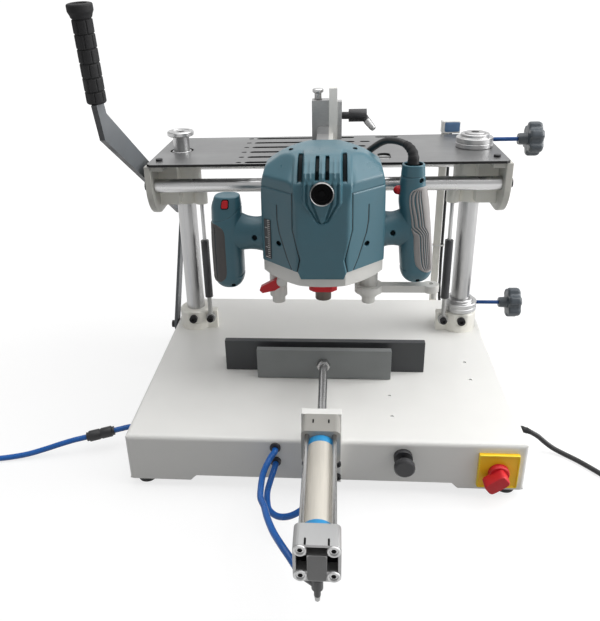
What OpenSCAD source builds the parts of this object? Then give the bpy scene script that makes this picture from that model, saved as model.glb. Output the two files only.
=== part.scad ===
// Bench duplicating router: a carriage on two columns carries a hand router that follows
// the slots of a template plate, over a base with a pneumatic clamp.
// Origin on the bench, under the middle of the base. X to the right, Y to the back, Z up.

/* [Base] */
// Width of the base, left to right
base_w = 520; // [500:5:560]
// Depth of the base, front to back
base_d = 430; // [420:5:480]
// Height of the skirt round the base
skirt_h = 70; // [66:1:84]
// Thickness of the bent sheet
sheet_t = 2; // [1.5:0.5:3]
// Outside radius of the bends
bend_r = 6; // [4:0.5:8]
// Height by which the skirt rises between the feet
rise_h = 8; // [4:1:12]
// Width of the raised stretch of skirt
rise_w = 336; // [300:2:350]
// Diameter of a rubber foot
foot_d = 28; // [24:1:34]
// Height of a rubber foot
foot_h = 12; // [8:1:20]
// Distance from the base's sides to the middle of a foot
foot_inset = 19; // [18:1:26]
// Bolt hole through each foot
foot_hole_d = 7; // [5:0.5:9]
// Spacing of each pair of stop holes in the table
stop_pitch = 50; // [40:1:60]
// Diameter of a stop hole
stop_hole_d = 5; // [3:0.5:6]

/* [Columns] */
// Diameter of a column
column_d = 30; // [26:1:32]
// Distance from the base's side to a column's axis
column_inset = 37; // [34:1:42]
// Distance from the base's back to the columns' axes
column_back = 105; // [95:1:120]
// Height of the right column above the template plate
column_over = 22; // [21:1:40]
// Diameter of a column's foot and of the collars
collar_d = 54; // [48:1:56]
// Height of a column's foot
foot_clamp_h = 34; // [32:1:40]
// Height of a collar
collar_h = 20; // [18:1:24]
// Diameter of the left column's cap
cap_d = 41; // [38:1:46]
// Diameter of a star knob
star_d = 50; // [40:1:60]
// Diameter of a star knob's stud
stud_d = 6; // [5:1:8]
// Free length of a star knob's stud
stud_len = 36; // [26:1:44]

/* [Gas springs] */
// Diameter of a gas spring's cylinder
gas_d = 13; // [11:1:14]
// Length of a gas spring's cylinder
gas_len = 100; // [95:1:115]
// Diameter of a gas spring's rod
gas_rod_d = 6; // [5:1:8]

/* [Carriage] */
// Height of the template plate's top above the table
plate_lift = 303; // [295:1:312]
// Thickness of the template plate
plate_t = 4; // [3:0.5:5]
// Depth of the template plate, front to back
plate_d = 188; // [180:1:210]
// How far the carriage comes down
travel = 50; // [30:1:50]
// Diameter of the cross rods
rod_d = 20; // [16:1:22]
// Thickness of an end cheek
cheek_t = 10; // [8:1:12]
// Height of an end cheek
cheek_h = 81; // [78:1:90]
// Length of a sleeve on its column
sleeve_h = 75; // [65:1:78]
// Number of slot rows in the template
slot_rows = 6; // [4:1:6]
// Spacing of the slot rows
slot_pitch = 32.8; // [30:0.2:33]
// Width of a template slot
slot_w = 10; // [8:0.5:14]

/* [Hand lever] */
// Length of the lever from its pivot to its elbow
lever_front = 237; // [220:1:250]
// Length of the lever from its pivot to the link
lever_rear = 169; // [160:1:180]
// Slope of the lever's long arm
lever_slope = 30.8; // [28:0.1:34]
// Width of the lever's long arm
lever_w = 35; // [30:1:38]
// Thickness of the lever
lever_t = 7; // [5:1:9]
// Length of the rubber grip
grip_len = 112; // [100:1:125]
// Diameter of the rubber grip
grip_d = 24; // [22:1:28]
// Width of the link bar
link_w = 24; // [20:1:28]
// Thickness of the link bar
link_t = 5; // [4:0.5:6]

/* [Router] */
// Width of the motor housing
router_w = 160; // [150:1:166]
// Height of the motor housing
router_h = 159; // [155:1:170]
// Housing's reach in front of its axis
router_front = 73; // [70:1:80]
// Housing's reach behind its axis
router_back = 76; // [72:1:80]
// Depth of a handle, front to back
handle_d = 44; // [38:1:50]
// Diameter of the slide's forward rods
slide_rod_d = 12; // [10:1:14]
// Bore of the collet
collet_d = 8; // [6:0.5:12]
// Diameter of the stylus pin
stylus_d = 6; // [5:0.5:7]

/* [Clamp] */
// Width across a cylinder cap
cap_w = 47; // [45:1:50]
// Spacing of the tie rods
tie_pitch = 32.5; // [31:0.5:34]
// Outside diameter of the barrel
barrel_d = 36; // [35:0.5:37]
// Bore of the barrel
bore_d = 32; // [30:0.5:33]
// Length of the barrel
barrel_len = 149; // [140:1:180]
// Diameter of the piston rod
piston_rod_d = 12; // [10:1:14]
// Width of the clamp plate
clamp_w = 196; // [150:1:240]
// Width of the fence
fence_w = 297; // [260:1:320]
// Height of the fence
fence_h = 50; // [40:1:60]
// Gap between clamp plate and fence, as drawn
clamp_gap = 13; // [10:1:30]

/* [Controls] */
// Side of the switch's yellow plate
switch_w = 50; // [46:1:56]
// Diameter of the valve's knob
valve_knob_d = 26; // [22:1:30]

/* [Hidden] */
$fn = 48;

// Clearances: a running fit, a loose gap between bodies, and the overlap of a cut past a face
run_fit = 0.05;
loose = 0.3;
past = 1;

// Base
top_z = foot_h + skirt_h;
side_x = base_w / 2;
front_y = -base_d / 2;
back_y = base_d / 2;
foot_x = side_x - foot_inset;
foot_y = back_y - foot_inset;
corner_plate = 2 * foot_inset + 16;
corner_plate_t = 3;
stop_holes = [[93.5, front_y + 82], [214, front_y + 178]];

// Columns
col_x = side_x - column_inset;
col_y = back_y - column_back;
column_h = plate_lift + column_over;
foot_bolt_z = top_z + 22;
foot_bolt_r = 4;
foot_bolt_head_r = 6.5;
foot_bolt_head_h = 7;
stop_z = top_z + foot_clamp_h + loose;
cap_neck_d = 25;
cap_flange_h = 8;
collar_step = 5;
collar_ledge = 6;
cap_h = column_over + 9;
cap_bore_d = 12;
cap_floor = 12;
star_hub_d = 17;
star_hub_h = 13;
star_t = 20;

// Carriage
plate_top = top_z + plate_lift;
plate_low = plate_top - plate_t;
plate_front = col_y - 93;
cheek_in = col_x + 29;
cheek_out = cheek_in + cheek_t;
plate_x = cheek_out - 5;
plate_corner = 6;
column_hole_d = column_d + 6;
rod_z = plate_low - 33;
front_rod_y = col_y - 70;
rear_rod_y = col_y + 65;
cheek_front = col_y - 89;
cheek_rear = col_y + 75;
cheek_nose_r = 48;
cheek_tail_r = 30;
tab_in = cheek_in - 18;
tab_h = 8;
plate_screw_x = cheek_in - 9;
plate_screw_ys = [cheek_front + 22, cheek_rear - 17];
plate_screw_r = 2.5;
plate_screw_head_r = 5;
plate_screw_head_h = 3;
rod_bolt_r = 4;
rod_bolt_deep = 14;
rod_bolt_head_r = 6.5;
rod_bolt_head_h = 5;
sleeve_low = plate_low - sleeve_h;

// Gas springs
gas_x = col_x - 28.5;
gas_y = col_y - 20;
gas_low = top_z + 61;
gas_top = gas_low + gas_len;
gas_rod_low = gas_top - 33;
gas_bore_low = gas_rod_low - travel - 10;
gas_boss_r = 10;
gas_boss_h = 28;
eye_r = 8;
eye_t = 8;
eye_bolt_r = 3;
eye_bolt_head_r = 5.5;
eye_bolt_head_h = 6;
lug_w = 20;
lug_t = 14;

// Hand lever and link, in the plane square to X
lever_pivot = [col_y, plate_low - 42];
lever_dir = [cos(lever_slope), -sin(lever_slope)];
lever_up = [sin(lever_slope), cos(lever_slope)];
lever_pin_r = 6;
link_pin_r = 5;
link_slack = 1.3;
lever_end = lever_pivot + lever_rear * lever_dir;
link_foot = [back_y - 85, top_z - 12];
link_in = cheek_out + 0.5;
link_out = link_in + link_t;
lever_in = link_out + 1.5;
lever_out = lever_in + lever_t;
handle_lean = 7;
handle_dir = [-sin(handle_lean), cos(handle_lean)];
grip_base = lever_pivot + [-213.5, 152];
tang_w = 14;
neck_w = 26;
grip_rings = 5;

// Router
bracket_y = plate_front - 11;
bracket_t = 7.5;
bracket_x = 45;
router_y = bracket_y - router_back;
router_x = router_w / 2;
router_low = plate_top - 117;
housing_low = router_low + 8;
shoulder_z = housing_low + 9;
router_top = router_low + router_h;
bib_x = 31;
bib_low_x = 27;
bib_deep = 24;
neck_left_z = router_low + 44;
neck_right_z = router_low + 50;
handle_left_x = router_x + 28;
handle_right_x = router_x + 20;
handle_round = 10;
pad_t = 2;
pad_w = 20;
port_z = router_top - 41;
port_r = 12;
port_ring_r = 15;
nose_x = 23;
casting_inset = 2;
nose_z = router_low - 22;
nose_r = 26;
sleeve_x = 62;
wing_x = -sleeve_x + 7;
wing_z = router_low - 16;
wing_hub_r = 7;
plunge_r = 12;
plunge_low = router_low - 46;
bush_r = 9;
bush_low = plunge_low - 10;
collet_nut_r = 11;
collet_z = router_low - 51;
collet_nut_h = 18;
spindle_r = 8;
spindle_top = router_low - 8;
collet_deep = 28;
lock_h = 9;
lock_x = 19;
button_z = router_low + 102;
button_r = 5.8;
button_out = 10;

// Slides of the router
slide_rod_x = 38;
slide_rod_z = rod_z - 28;
slide_rod_len = 174;
block_x = 55;
block_front = plate_front + 3;
block_rear = front_rod_y + 44;
block_top = rod_z + 18;
block_low = slide_rod_z - 12;
rear_low = rod_z - 18;
rear_wall = 18;

// Stylus
stylus_x = -11;
stylus_y = plate_front + 9.5 + 3 * slot_pitch;
stylus_low = plate_top + 3;
arm_x = 12;
arm_low = plate_top + 9;
arm_t = 14;
holder_top = arm_low + 62;
holder_left = -20;
holder_right = 6;
upright_x = 18;
boss_x = 25;
foot_left = -13;
foot_top = arm_low + 24;
holder_well_r = 6.5;
holder_well = 8;
holder_depth = 26;
lever_hub_z = arm_low + 38;
lever_arm = [14.5, -14, -16];

// Clamp cylinder
mount_t = 12;
mount_x = 25;
mount_low = top_z - 56;
cyl_z = top_z + 26;
rod_cap_len = 35;
tail_cap_len = 29;
rod_cap_y = front_y - mount_t - rod_cap_len;
tail_y = rod_cap_y - barrel_len;
tail_end = tail_y - tail_cap_len;
tie_r = 3;
tie_head_r = 4.5;
tie_head_h = 4;
pocket_deep = 14;
mount_screw_x = 20.5;
mount_screw_zs = [top_z - 25, top_z - 46];
mount_screw_r = 3;
mount_screw_head_r = 4.5;
mount_screw_head_h = 4;
plate_thick = 10;
fence_back = 171;
fence_y = front_y + fence_back;
fence_foot_d = 30;
fence_foot_t = 6;
fence_screw_r = 3;
fence_screw_inset = 30;
fence_screw_xs = [-fence_w / 2 + fence_screw_inset, 0, fence_w / 2 - fence_screw_inset];
clamp_y = fence_y - clamp_gap - plate_thick;
clamp_low = top_z + 1;
clamp_h = fence_h - 3;
nut_af = 17;
nut_h = 9;
piston_h = 20;
piston_y = rod_cap_y - 12 - piston_h;

// Controls on the front
valve_x = 104;
valve_z = top_z - 21.5;
bezel_r = 12;
bezel_h = 7;
valve_body_r = 8;
valve_stem_r = 4.5;
valve_out = 27;
valve_push = 8;
switch_x = side_x - 36.5;
switch_z = top_z - 37.5;
switch_t = 5;
switch_shaft_r = 5;
switch_hub_r = 14;
switch_hub_h = 8;
switch_bar = [19, 25, 15];
switch_turn = -135;

// Air tubes and leads, with their routes chosen by hand
tube_d = 8;
tube_hole_zs = [top_z - 12, top_z - 34];
tube_hole_x = -60;
grommet_r = 7;
grommet_h = 3;
valve_drop = cyl_z - cap_w / 2;
valve_arm_z = valve_drop - 10.5;
valve_arm_len = 15;
tail_valve = [0, tail_end + 8];
rod_valve = [0, rod_cap_y + 16];
tail_valve_turn = 143.13;
rod_valve_turn = -90;
tube_upper_leave = [tube_hole_x, front_y - grommet_h, tube_hole_zs[0] - 2];
tube_lower_leave = [tube_hole_x, front_y - grommet_h, tube_hole_zs[1] - 2];
tube_upper_arrive = [tail_valve[0] - 12, tail_valve[1] + 9, valve_arm_z];
tube_lower_arrive = [rod_valve[0], rod_valve[1] - valve_arm_len, valve_arm_z];
tube_upper_route = concat([for (p = [[0, 0, 0], [0, -2, 0], [0, -4, 0], [-4, -13, -1], [-9, -27, -4],
    [-12, -44, -6], [-12, -67, -6]]) tube_upper_leave + p], [for (p = [[-58, 118, -9], [-52, 101, -6],
    [-46, 78, -1], [-37, 53, 3], [-26, 31, 6], [-17, 18, 4], [-8, 6, 0], [-4, 3, 0], [0, 0, 0]])
    tube_upper_arrive + p]);
tube_lower_route = concat([for (p = [[0, 0, 0], [0, -2, 0], [0, -4, 0], [-2, -15, -2], [-5, -30, -6],
    [-7, -44, -9], [-6, -58, -12], [-2, -72, -13]]) tube_lower_leave + p], [for (p = [[-50, -41, -39],
    [-34, -45, -33], [-18, -41, -23], [-6, -29, -12], [-1, -17, -4], [0, -8, 0], [0, -4, 0], [0, 0, 0]])
    tube_lower_arrive + p]);
lead_d = 7;
gland_h = 6;
supply_exit = [-side_x, front_y + 93, 30];
supply_leave = supply_exit - [gland_h, 0, 0];
supply_stub_route = [for (p = [[0, 0, 0], [-4, 0, 0], [-8, 0, 0], [-21, -2, -1], [-30.5, -5, -2],
    [-40, -8, -3]]) supply_leave + p];
supply_union_axis = [supply_leave + [-40, -8, -3], supply_leave + [-78, -20, -7]];
supply_route = [for (p = [[-78, -20, 23], [-87.5, -23, 22], [-97, -26, 21], [-116, -31, 17], [-136, -36, 12],
    [-160, -42, 7], [-184, -47, 4.5], [-204, -51, 4], [-224, -54.5, 4], [-234, -56, 4], [-244, -57.5, 4],
    [-254, -59, 4]]) [supply_leave[0] + p[0], supply_leave[1] + p[1], p[2]]];
supply_turns = 2;
supply_coil_r = 53;
mains_ring_h = 2;
mains_exit = [side_x, front_y + 103, 34];
mains_leave = mains_exit + [mains_ring_h, 0, 0];
mains_route = [for (p = [[0, 0, 34], [6, 0, 34], [12, 0, 34], [26, -1, 31], [40, -3, 24], [51, -5, 15],
    [62, -9, 8], [75, -16, 4], [88, -28, 3.5], [100, -42, 3.5], [114, -60, 3.5], [121, -69, 3.5],
    [128, -78, 3.5], [135, -87, 3.5], [142, -96, 3.5]]) [mains_leave[0] + p[0], mains_leave[1] + p[1], p[2]]];
mains_turns = 3;
mains_coil_r = 50;
plug_boot = 22;
boot_len = 30;
boot_r = 6;

// Post with the router's fixed lead
post_x = side_x - 70;
post_w = 12;
post_t = 6;
post_low = 30;
post_top = plate_top - 1;
post_cable_d = 5;
post_cable_hole = [post_x + 22, top_z - 27];
post_cable_route = concat([for (z = [0, -9, -18, -44, -84, -134]) [post_x + 15.5, back_y + 4, post_top + z]],
    [for (p = [[-6.5, 4, 145], [-6.5, 4, 105], [-6, 5, 85], [-5, 8, 67], [-4, 14, 51], [-2, 21, 37],
    [-1, 25, 23], [0, 24, 13], [0, 20, 6], [0, 14, 2], [0, 9, 0], [0, 6, 0], [0, 3, 0]])
    [post_cable_hole[0] + p[0], back_y + p[1], post_cable_hole[1] + p[2]]]);
junction = [30, 16, 20];
router_cord_d = 9;
cord_block_top = plate_top - 5;
cord_block = [20, 8.7, 16];
cord_from = [handle_right_x + 13.5, router_y, router_low + 136];
cord_to = [bracket_x + 11, bracket_y + 4, cord_block_top];
router_cord_route = [for (p = [[0, 0, 0], [0, 0, 3.5], [0, 0, 7], [0.026, 0.0375, 14], [0.113, 0.125, 20],
    [0.252, 0.2375, 23], [0.391, 0.3625, 23], [0.53, 0.5, 21], [0.652, 0.6375, 16], [0.774, 0.775, 9],
    [0.896, 0.9, 1], [0.983, 0.975, -7], [1, 1, -14], [1, 1, -19], [1, 1, -24]])
    [cord_from[0] + p[0] * (cord_to[0] - cord_from[0]), cord_from[1] + p[1] * (cord_to[1] - cord_from[1]),
    p[2] > -14 ? cord_from[2] + p[2] : cord_to[2] + p[2] + 24]];

// Points of an arc round c, from angle a0 to a1 in n steps
function arc(c, r, a0, a1, n) = [for (i = [0 : n]) let (a = a0 + (a1 - a0) * i / n)
    c + r * [cos(a), sin(a)]];

// Outline mirrored in its first coordinate, for a list that runs down its right side
function both_sides(half) = concat(half, [for (i = [len(half) - 1 : -1 : 0])
    [-half[i][0], half[i][1]]]);

function unit(v) = v / norm(v);

// Direction of a path at point i
function heading(p, i) = unit(p[min(i + 1, len(p) - 1)] - p[max(i - 1, 0)]);

// A smooth path through hand-chosen points, with n steps between neighbours
function smooth(p, n) = concat([for (i = [0 : len(p) - 2]) for (k = [0 : n - 1])
    let (a = p[max(i - 1, 0)], b = p[i], c = p[i + 1], d = p[min(i + 2, len(p) - 1)], t = k / n)
    0.5 * (2 * b + t * (c - a) + t * t * (2 * a - 5 * b + 4 * c - d)
    + t * t * t * (3 * b - a - 3 * c + d))], [p[len(p) - 1]]);

// Side vectors carried along a path without twist
function carried(p) = let (first = heading(p, 0), seed = abs(first[2]) < 0.8 ? [0, 0, 1] : [1, 0, 0])
    [for (i = 0, s = unit(cross(first, seed)); i < len(p); i = i + 1,
    s = i < len(p) ? let (t = heading(p, i)) unit(s - t * (s * t)) : s) s];

// Tube along a path; radii gives one radius for each point
module tube_along(path, radii, sides) {
    s = carried(path);
    n = len(path);
    rings = [for (i = [0 : n - 1]) let (t = heading(path, i), u = s[i], v = cross(t, u))
        for (k = [0 : sides - 1]) let (a = 360 * k / sides)
        path[i] + radii[i] * (cos(a) * u + sin(a) * v)];
    walls = [for (i = [0 : n - 2]) for (k = [0 : sides - 1])
        let (a = i * sides + k, b = i * sides + (k + 1) % sides)
        for (f = [[a, a + sides, b], [b, a + sides, b + sides]]) f];
    first_end = [for (k = [1 : sides - 2]) [0, k, k + 1]];
    last = (n - 1) * sides;
    last_end = [for (k = [1 : sides - 2]) [last, last + k + 1, last + k]];
    polyhedron(points = rings, faces = concat(walls, first_end, last_end));
}

module cord(route, d, steps = 2, sides = 8) {
    path = smooth(route, steps);
    tube_along(path, [for (p = path) d / 2], sides);
}

// A lead whose first stretch swells into a moulded strain relief
module cord_with_boot(route, d, steps = 2) {
    path = smooth(route, steps);
    tube_along(path, [for (p = path) let (f = min(norm(p - route[0]) / boot_len, 1))
        boot_r + (d / 2 - boot_r) * f], 8);
}

// Coil in two layers: in for some turns, up a layer in half a turn, and out again
function coil_path(c, r, pitch, turns, a0, way, low) = [for (i = [0 : (2 * turns + 0.5) * 24])
    let (t = i / 24, climb = min(max(t - turns, 0), 0.5) * 2,
    rad = t < turns ? r - pitch * t : r - pitch * turns + pitch * max(t - turns - 0.5, 0),
    a = a0 + way * 360 * t)
    [c[0] + rad * cos(a), c[1] + rad * sin(a), low + pitch * climb]];

// Least distance between stretches of a path that lie half a turn or more apart
function least_gap(p, d) = min([for (i = [0 : len(p) - 1]) for (j = [i + 12 : 1 : len(p) - 1])
    norm(p[i] - p[j])]) - d;

// Solid rods along an axis, and plates square to an axis
module rod_x(r, x0, x1) {
    translate([min(x0, x1), 0, 0]) rotate([0, 90, 0]) cylinder(h = abs(x1 - x0), r = r);
}

module rod_y(r, y0, y1) {
    translate([0, y0, 0]) rotate([-90, 0, 0]) cylinder(h = y1 - y0, r = r);
}

module plate_yz(x0, t) {
    translate([x0, 0, 0]) rotate([90, 0, 90]) linear_extrude(t) children();
}

module plate_xz(y0, t) {
    translate([0, y0 + t, 0]) rotate([90, 0, 0]) linear_extrude(t) children();
}

// A box by two opposite corners
module span(a, b) {
    translate(a) cube(b - a);
}

// A piece and its mirror image on the other side of the machine
module pair() {
    children();
    mirror([1, 0, 0]) children();
}

// Bent tray: flat top, straight skirts, round bends
module tray(w, d, z0, z1, r) {
    across = both_sides(concat([[w / 2, z0]], arc([w / 2 - r, z1 - r], r, 0, 90, 5)));
    along = both_sides(concat([[d / 2, z0]], arc([d / 2 - r, z1 - r], r, 0, 90, 5)));
    intersection() {
        plate_xz(-d / 2, d) polygon(across);
        plate_yz(-w / 2, w) polygon(along);
        translate([0, 0, z0]) linear_extrude(z1 - z0)
            polygon(both_sides(concat(arc([w / 2 - r, d / 2 - r], r, 90, 0, 5),
                arc([w / 2 - r, r - d / 2], r, 0, -90, 5))));
    }
}

module at_feet() {
    for (sx = [-1, 1]) for (sy = [-1, 1]) translate([sx * foot_x, sy * foot_y, 0]) children();
}

module base_shell() {
    color("whitesmoke") difference() {
        union() {
            difference() {
                tray(base_w, base_d, foot_h, top_z, bend_r);
                tray(base_w - 2 * sheet_t, base_d - 2 * sheet_t, foot_h - past, top_z - sheet_t,
                    bend_r - sheet_t);
            }
            for (sx = [-1, 1]) for (sy = [-1, 1])
                translate([sx * (side_x - sheet_t / 2 - corner_plate / 2),
                    sy * (back_y - sheet_t / 2 - corner_plate / 2), foot_h + corner_plate_t / 2])
                    cube([corner_plate, corner_plate, corner_plate_t], center = true);
        }
        plate_xz(front_y - past, base_d + 2 * past)
            polygon(both_sides([[rise_w / 2 + rise_h, foot_h - past],
                [rise_w / 2 + rise_h, foot_h], [rise_w / 2, foot_h + rise_h]]));
        at_feet() cylinder(h = 2 * (foot_h + corner_plate_t), d = foot_hole_d);
        for (p = stop_holes) for (s = [-1, 1])
            translate([p[0], p[1] + s * stop_pitch / 2, top_z - 2 * sheet_t])
                cylinder(h = 3 * sheet_t, d = stop_hole_d);
        for (x = fence_screw_xs) translate([x, fence_y + plate_thick + fence_foot_d / 2, top_z - 9])
            cylinder(h = 10, r = fence_screw_r + run_fit);
        translate([valve_x, 0, valve_z]) rod_y(valve_body_r + run_fit, front_y - past, front_y + 9);
        translate([switch_x, 0, switch_z]) rod_y(switch_shaft_r + run_fit, front_y - past, front_y + 9);
        for (z = tube_hole_zs) translate([tube_hole_x, 0, z])
            rod_y(grommet_r - 2, front_y - past, front_y + 9);
        for (x = [-1, 1]) for (z = mount_screw_zs) translate([x * mount_screw_x, 0, z])
            rod_y(mount_screw_r + run_fit, front_y - past, front_y + 9);
        translate([0, supply_exit[1], supply_exit[2]]) rod_x(grommet_r - 2, -side_x - past, 9 - side_x);
        translate([0, mains_exit[1], mains_exit[2]]) rod_x(grommet_r - 2, side_x - 9, side_x + past);
        translate([0, link_foot[0], link_foot[1]]) rod_x(link_pin_r + run_fit, -side_x - past, 9 - side_x);
        translate([post_cable_hole[0], 0, post_cable_hole[1]]) rod_y(grommet_r - 2, back_y - 9, back_y + past);
    }
}

module rubber_feet() {
    color("dimgray") at_feet() rotate_extrude()
        polygon([[foot_hole_d / 2, 0], [foot_d / 2 - 2, 0], [foot_d / 2, foot_h],
            [foot_hole_d / 2, foot_h]]);
}

module columns() {
    color("silver") {
        translate([-col_x, col_y, top_z]) cylinder(h = plate_lift, d = column_d);
        translate([col_x, col_y, top_z]) difference() {
            cylinder(h = column_h, d = column_d);
            translate([0, 0, column_h - cap_floor]) cylinder(h = cap_floor + past, d = cap_bore_d);
        }
    }
}

// A collar with broken edges, a bore on its column and a cross hole for a stud
module collar(z) {
    translate([col_x, col_y, z]) difference() {
        rotate_extrude() polygon([[column_d / 2 + run_fit, 0], [collar_d / 2 - 1, 0],
            [collar_d / 2, 1], [collar_d / 2, collar_h - collar_step - 1],
            [collar_d / 2 - 1, collar_h - collar_step], [collar_d / 2 - collar_ledge, collar_h - collar_step],
            [collar_d / 2 - collar_ledge, collar_h - 1], [collar_d / 2 - collar_ledge - 1, collar_h],
            [column_d / 2 + run_fit, collar_h]]);
        translate([0, 0, collar_h / 2]) rod_x(stud_d / 2 + 0.1, 0, collar_d);
    }
}

module column_stops() {
    color("lightgray") {
        translate([-col_x, col_y, plate_top]) difference() {
            union() {
                cylinder(h = cap_h, d = cap_neck_d);
                translate([0, 0, cap_h - cap_flange_h])
                    cylinder(h = cap_flange_h, d = cap_d);
            }
            translate([0, 0, cap_floor]) cylinder(h = cap_h, d = cap_bore_d);
        }
        collar(plate_top + loose);
    }
}

module column_feet() {
    color("gainsboro") pair() difference() {
        union() {
            translate([col_x, col_y, top_z]) rotate_extrude()
                polygon([[column_d / 2 + run_fit, 0], [collar_d / 2, 0],
                    [collar_d / 2, foot_clamp_h - 3], [collar_d / 2 - 3, foot_clamp_h],
                    [column_d / 2 + run_fit, foot_clamp_h]]);
            span([gas_x - lug_w / 2, gas_y + eye_t / 2, top_z],
                [col_x - column_d / 2 - 3, gas_y + eye_t / 2 + lug_t, foot_bolt_z + 10]);
        }
        translate([col_x, 0, foot_bolt_z]) rod_y(foot_bolt_r + run_fit, col_y - collar_d, col_y - 10);
        translate([gas_x, 0, foot_bolt_z]) rod_y(eye_bolt_r + run_fit, gas_y, gas_y + lug_t);
        translate([gas_x, 0, foot_bolt_z]) rod_y(eye_r + loose, gas_y - collar_d, gas_y + eye_t / 2);
        translate([col_x, col_y - collar_d / 2 - 1, foot_bolt_z]) cube([20, 6, 20], center = true);
        translate([col_x, col_y, top_z - past]) cylinder(h = foot_clamp_h, d = column_d + 2 * run_fit);
    }
}

// Bolt pointing along +Y with its head in front of y0
module bolt_y(r, len, head_r, head_h) {
    rod_y(r, 0, len);
    difference() {
        rod_y(head_r, -head_h, 0);
        rod_y(head_r / 2, -head_h - past, -head_h / 2);
    }
}

module base_bolts() {
    color([0.12, 0.12, 0.13]) {
        pair() {
            translate([col_x, col_y - collar_d / 2 + 2, foot_bolt_z])
                bolt_y(foot_bolt_r, collar_d / 2 - column_d / 2 - 2.5, foot_bolt_head_r,
                    foot_bolt_head_h);
            translate([gas_x, gas_y - eye_t / 2, foot_bolt_z])
                bolt_y(eye_bolt_r, eye_t + lug_t - 6, eye_bolt_head_r, eye_bolt_head_h);
            for (z = mount_screw_zs) translate([mount_screw_x, front_y - mount_t, z])
                bolt_y(mount_screw_r, mount_t + 8, mount_screw_head_r, mount_screw_head_h);
        }
        for (x = fence_screw_xs)
            translate([x, fence_y + plate_thick + fence_foot_d / 2, top_z + fence_foot_t]) {
                translate([0, 0, -fence_foot_t - 8]) cylinder(h = fence_foot_t + 8, r = fence_screw_r);
                cylinder(h = 4, r = 5);
            }
        translate([0, link_foot[0], link_foot[1]]) {
            rod_x(9, -side_x, loose - link_in);
            rod_x(link_pin_r, sheet_t - side_x, -link_out - loose);
            rod_x(6.5, -link_out - loose, -link_out - 6);
            rod_x(6, sheet_t - side_x, 10 - side_x);
        }
    }
}

module gas_cylinders() {
    color([0.13, 0.13, 0.14]) pair() translate([gas_x, gas_y, 0]) difference() {
        union() {
            translate([0, 0, gas_low]) cylinder(h = gas_len, d = gas_d);
            translate([0, 0, foot_bolt_z]) cylinder(h = gas_low - foot_bolt_z, r = eye_t / 2 - 0.5);
            translate([0, 0, foot_bolt_z]) rod_y(eye_r, -eye_t / 2, eye_t / 2);
        }
        translate([0, 0, gas_bore_low]) cylinder(h = gas_len, d = gas_rod_d + 2 * run_fit);
        translate([0, 0, foot_bolt_z]) rod_y(eye_bolt_r + run_fit, -eye_t, eye_t);
    }
}

module fence() {
    color([0.27, 0.28, 0.3]) difference() {
        plate_yz(-fence_w / 2, fence_w) polygon([[fence_y, top_z], [fence_y, top_z + fence_h],
            [fence_y + plate_thick, top_z + fence_h], [fence_y + plate_thick, top_z + fence_foot_t],
            [fence_y + plate_thick + fence_foot_d, top_z + fence_foot_t],
            [fence_y + plate_thick + fence_foot_d, top_z]]);
        for (x = fence_screw_xs) translate([x, fence_y + plate_thick + fence_foot_d / 2, top_z - past])
            cylinder(h = 2 * fence_foot_t, r = fence_screw_r + run_fit);
    }
}

module cylinder_mount() {
    color("gainsboro") difference() {
        span([-mount_x, front_y - mount_t, mount_low], [mount_x, front_y, cyl_z + cap_w / 2]);
        translate([0, 0, cyl_z]) rod_y(piston_rod_d / 2 + 1, front_y - mount_t - past, front_y + past);
        for (x = [-1, 1]) for (z = mount_screw_zs) translate([x * mount_screw_x, 0, z])
            rod_y(mount_screw_r + run_fit, front_y - mount_t - past, front_y + past);
    }
}

// Square cap with round corners, along Y
module cap_block(y0, len) {
    h = cap_w / 2;
    r = 6;
    translate([0, 0, cyl_z]) plate_xz(y0, len)
        polygon(both_sides(concat(arc([h - r, h - r], r, 90, 0, 4), arc([h - r, r - h], r, 0, -90, 4))));
}

module at_ties() {
    for (sx = [-1, 1]) for (sz = [-1, 1])
        translate([sx * tie_pitch / 2, 0, cyl_z + sz * tie_pitch / 2]) children();
}

module rod_cap() {
    color("lightgray") difference() {
        cap_block(rod_cap_y, rod_cap_len);
        translate([0, 0, cyl_z]) rod_y(piston_rod_d / 2 + run_fit, rod_cap_y - past, front_y);
        at_ties() rod_y(tie_r + run_fit, rod_cap_y - past, rod_cap_y + 20);
    }
}

module tail_cap() {
    c = tie_pitch / 2;
    color("silver") difference() {
        cap_block(tail_end, tail_cap_len);
        at_ties() rod_y(tie_r + run_fit, tail_end - past, tail_y + past);
        at_ties() rod_y(tie_head_r + run_fit, tail_end - past, tail_end + tie_head_h);
        translate([0, 0, cyl_z]) for (a = [-90, 0, 90]) rotate([0, a, 0])
            span([6 - c, tail_end - past, c - 6.5], [c - 6, tail_end + pocket_deep, c + 4]);
    }
}

module barrel() {
    color("gainsboro") translate([0, 0, cyl_z]) difference() {
        rod_y(barrel_d / 2, tail_y, rod_cap_y);
        rod_y(bore_d / 2, tail_y - past, rod_cap_y + past);
    }
}

module tie_rods() {
    color("silver") at_ties() {
        rod_y(tie_r, tail_end + tie_head_h, rod_cap_y + 18);
        difference() {
            rod_y(tie_head_r, tail_end, tail_end + tie_head_h);
            rod_y(tie_head_r / 2, tail_end - past, tail_end + tie_head_h / 2);
        }
    }
}

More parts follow.
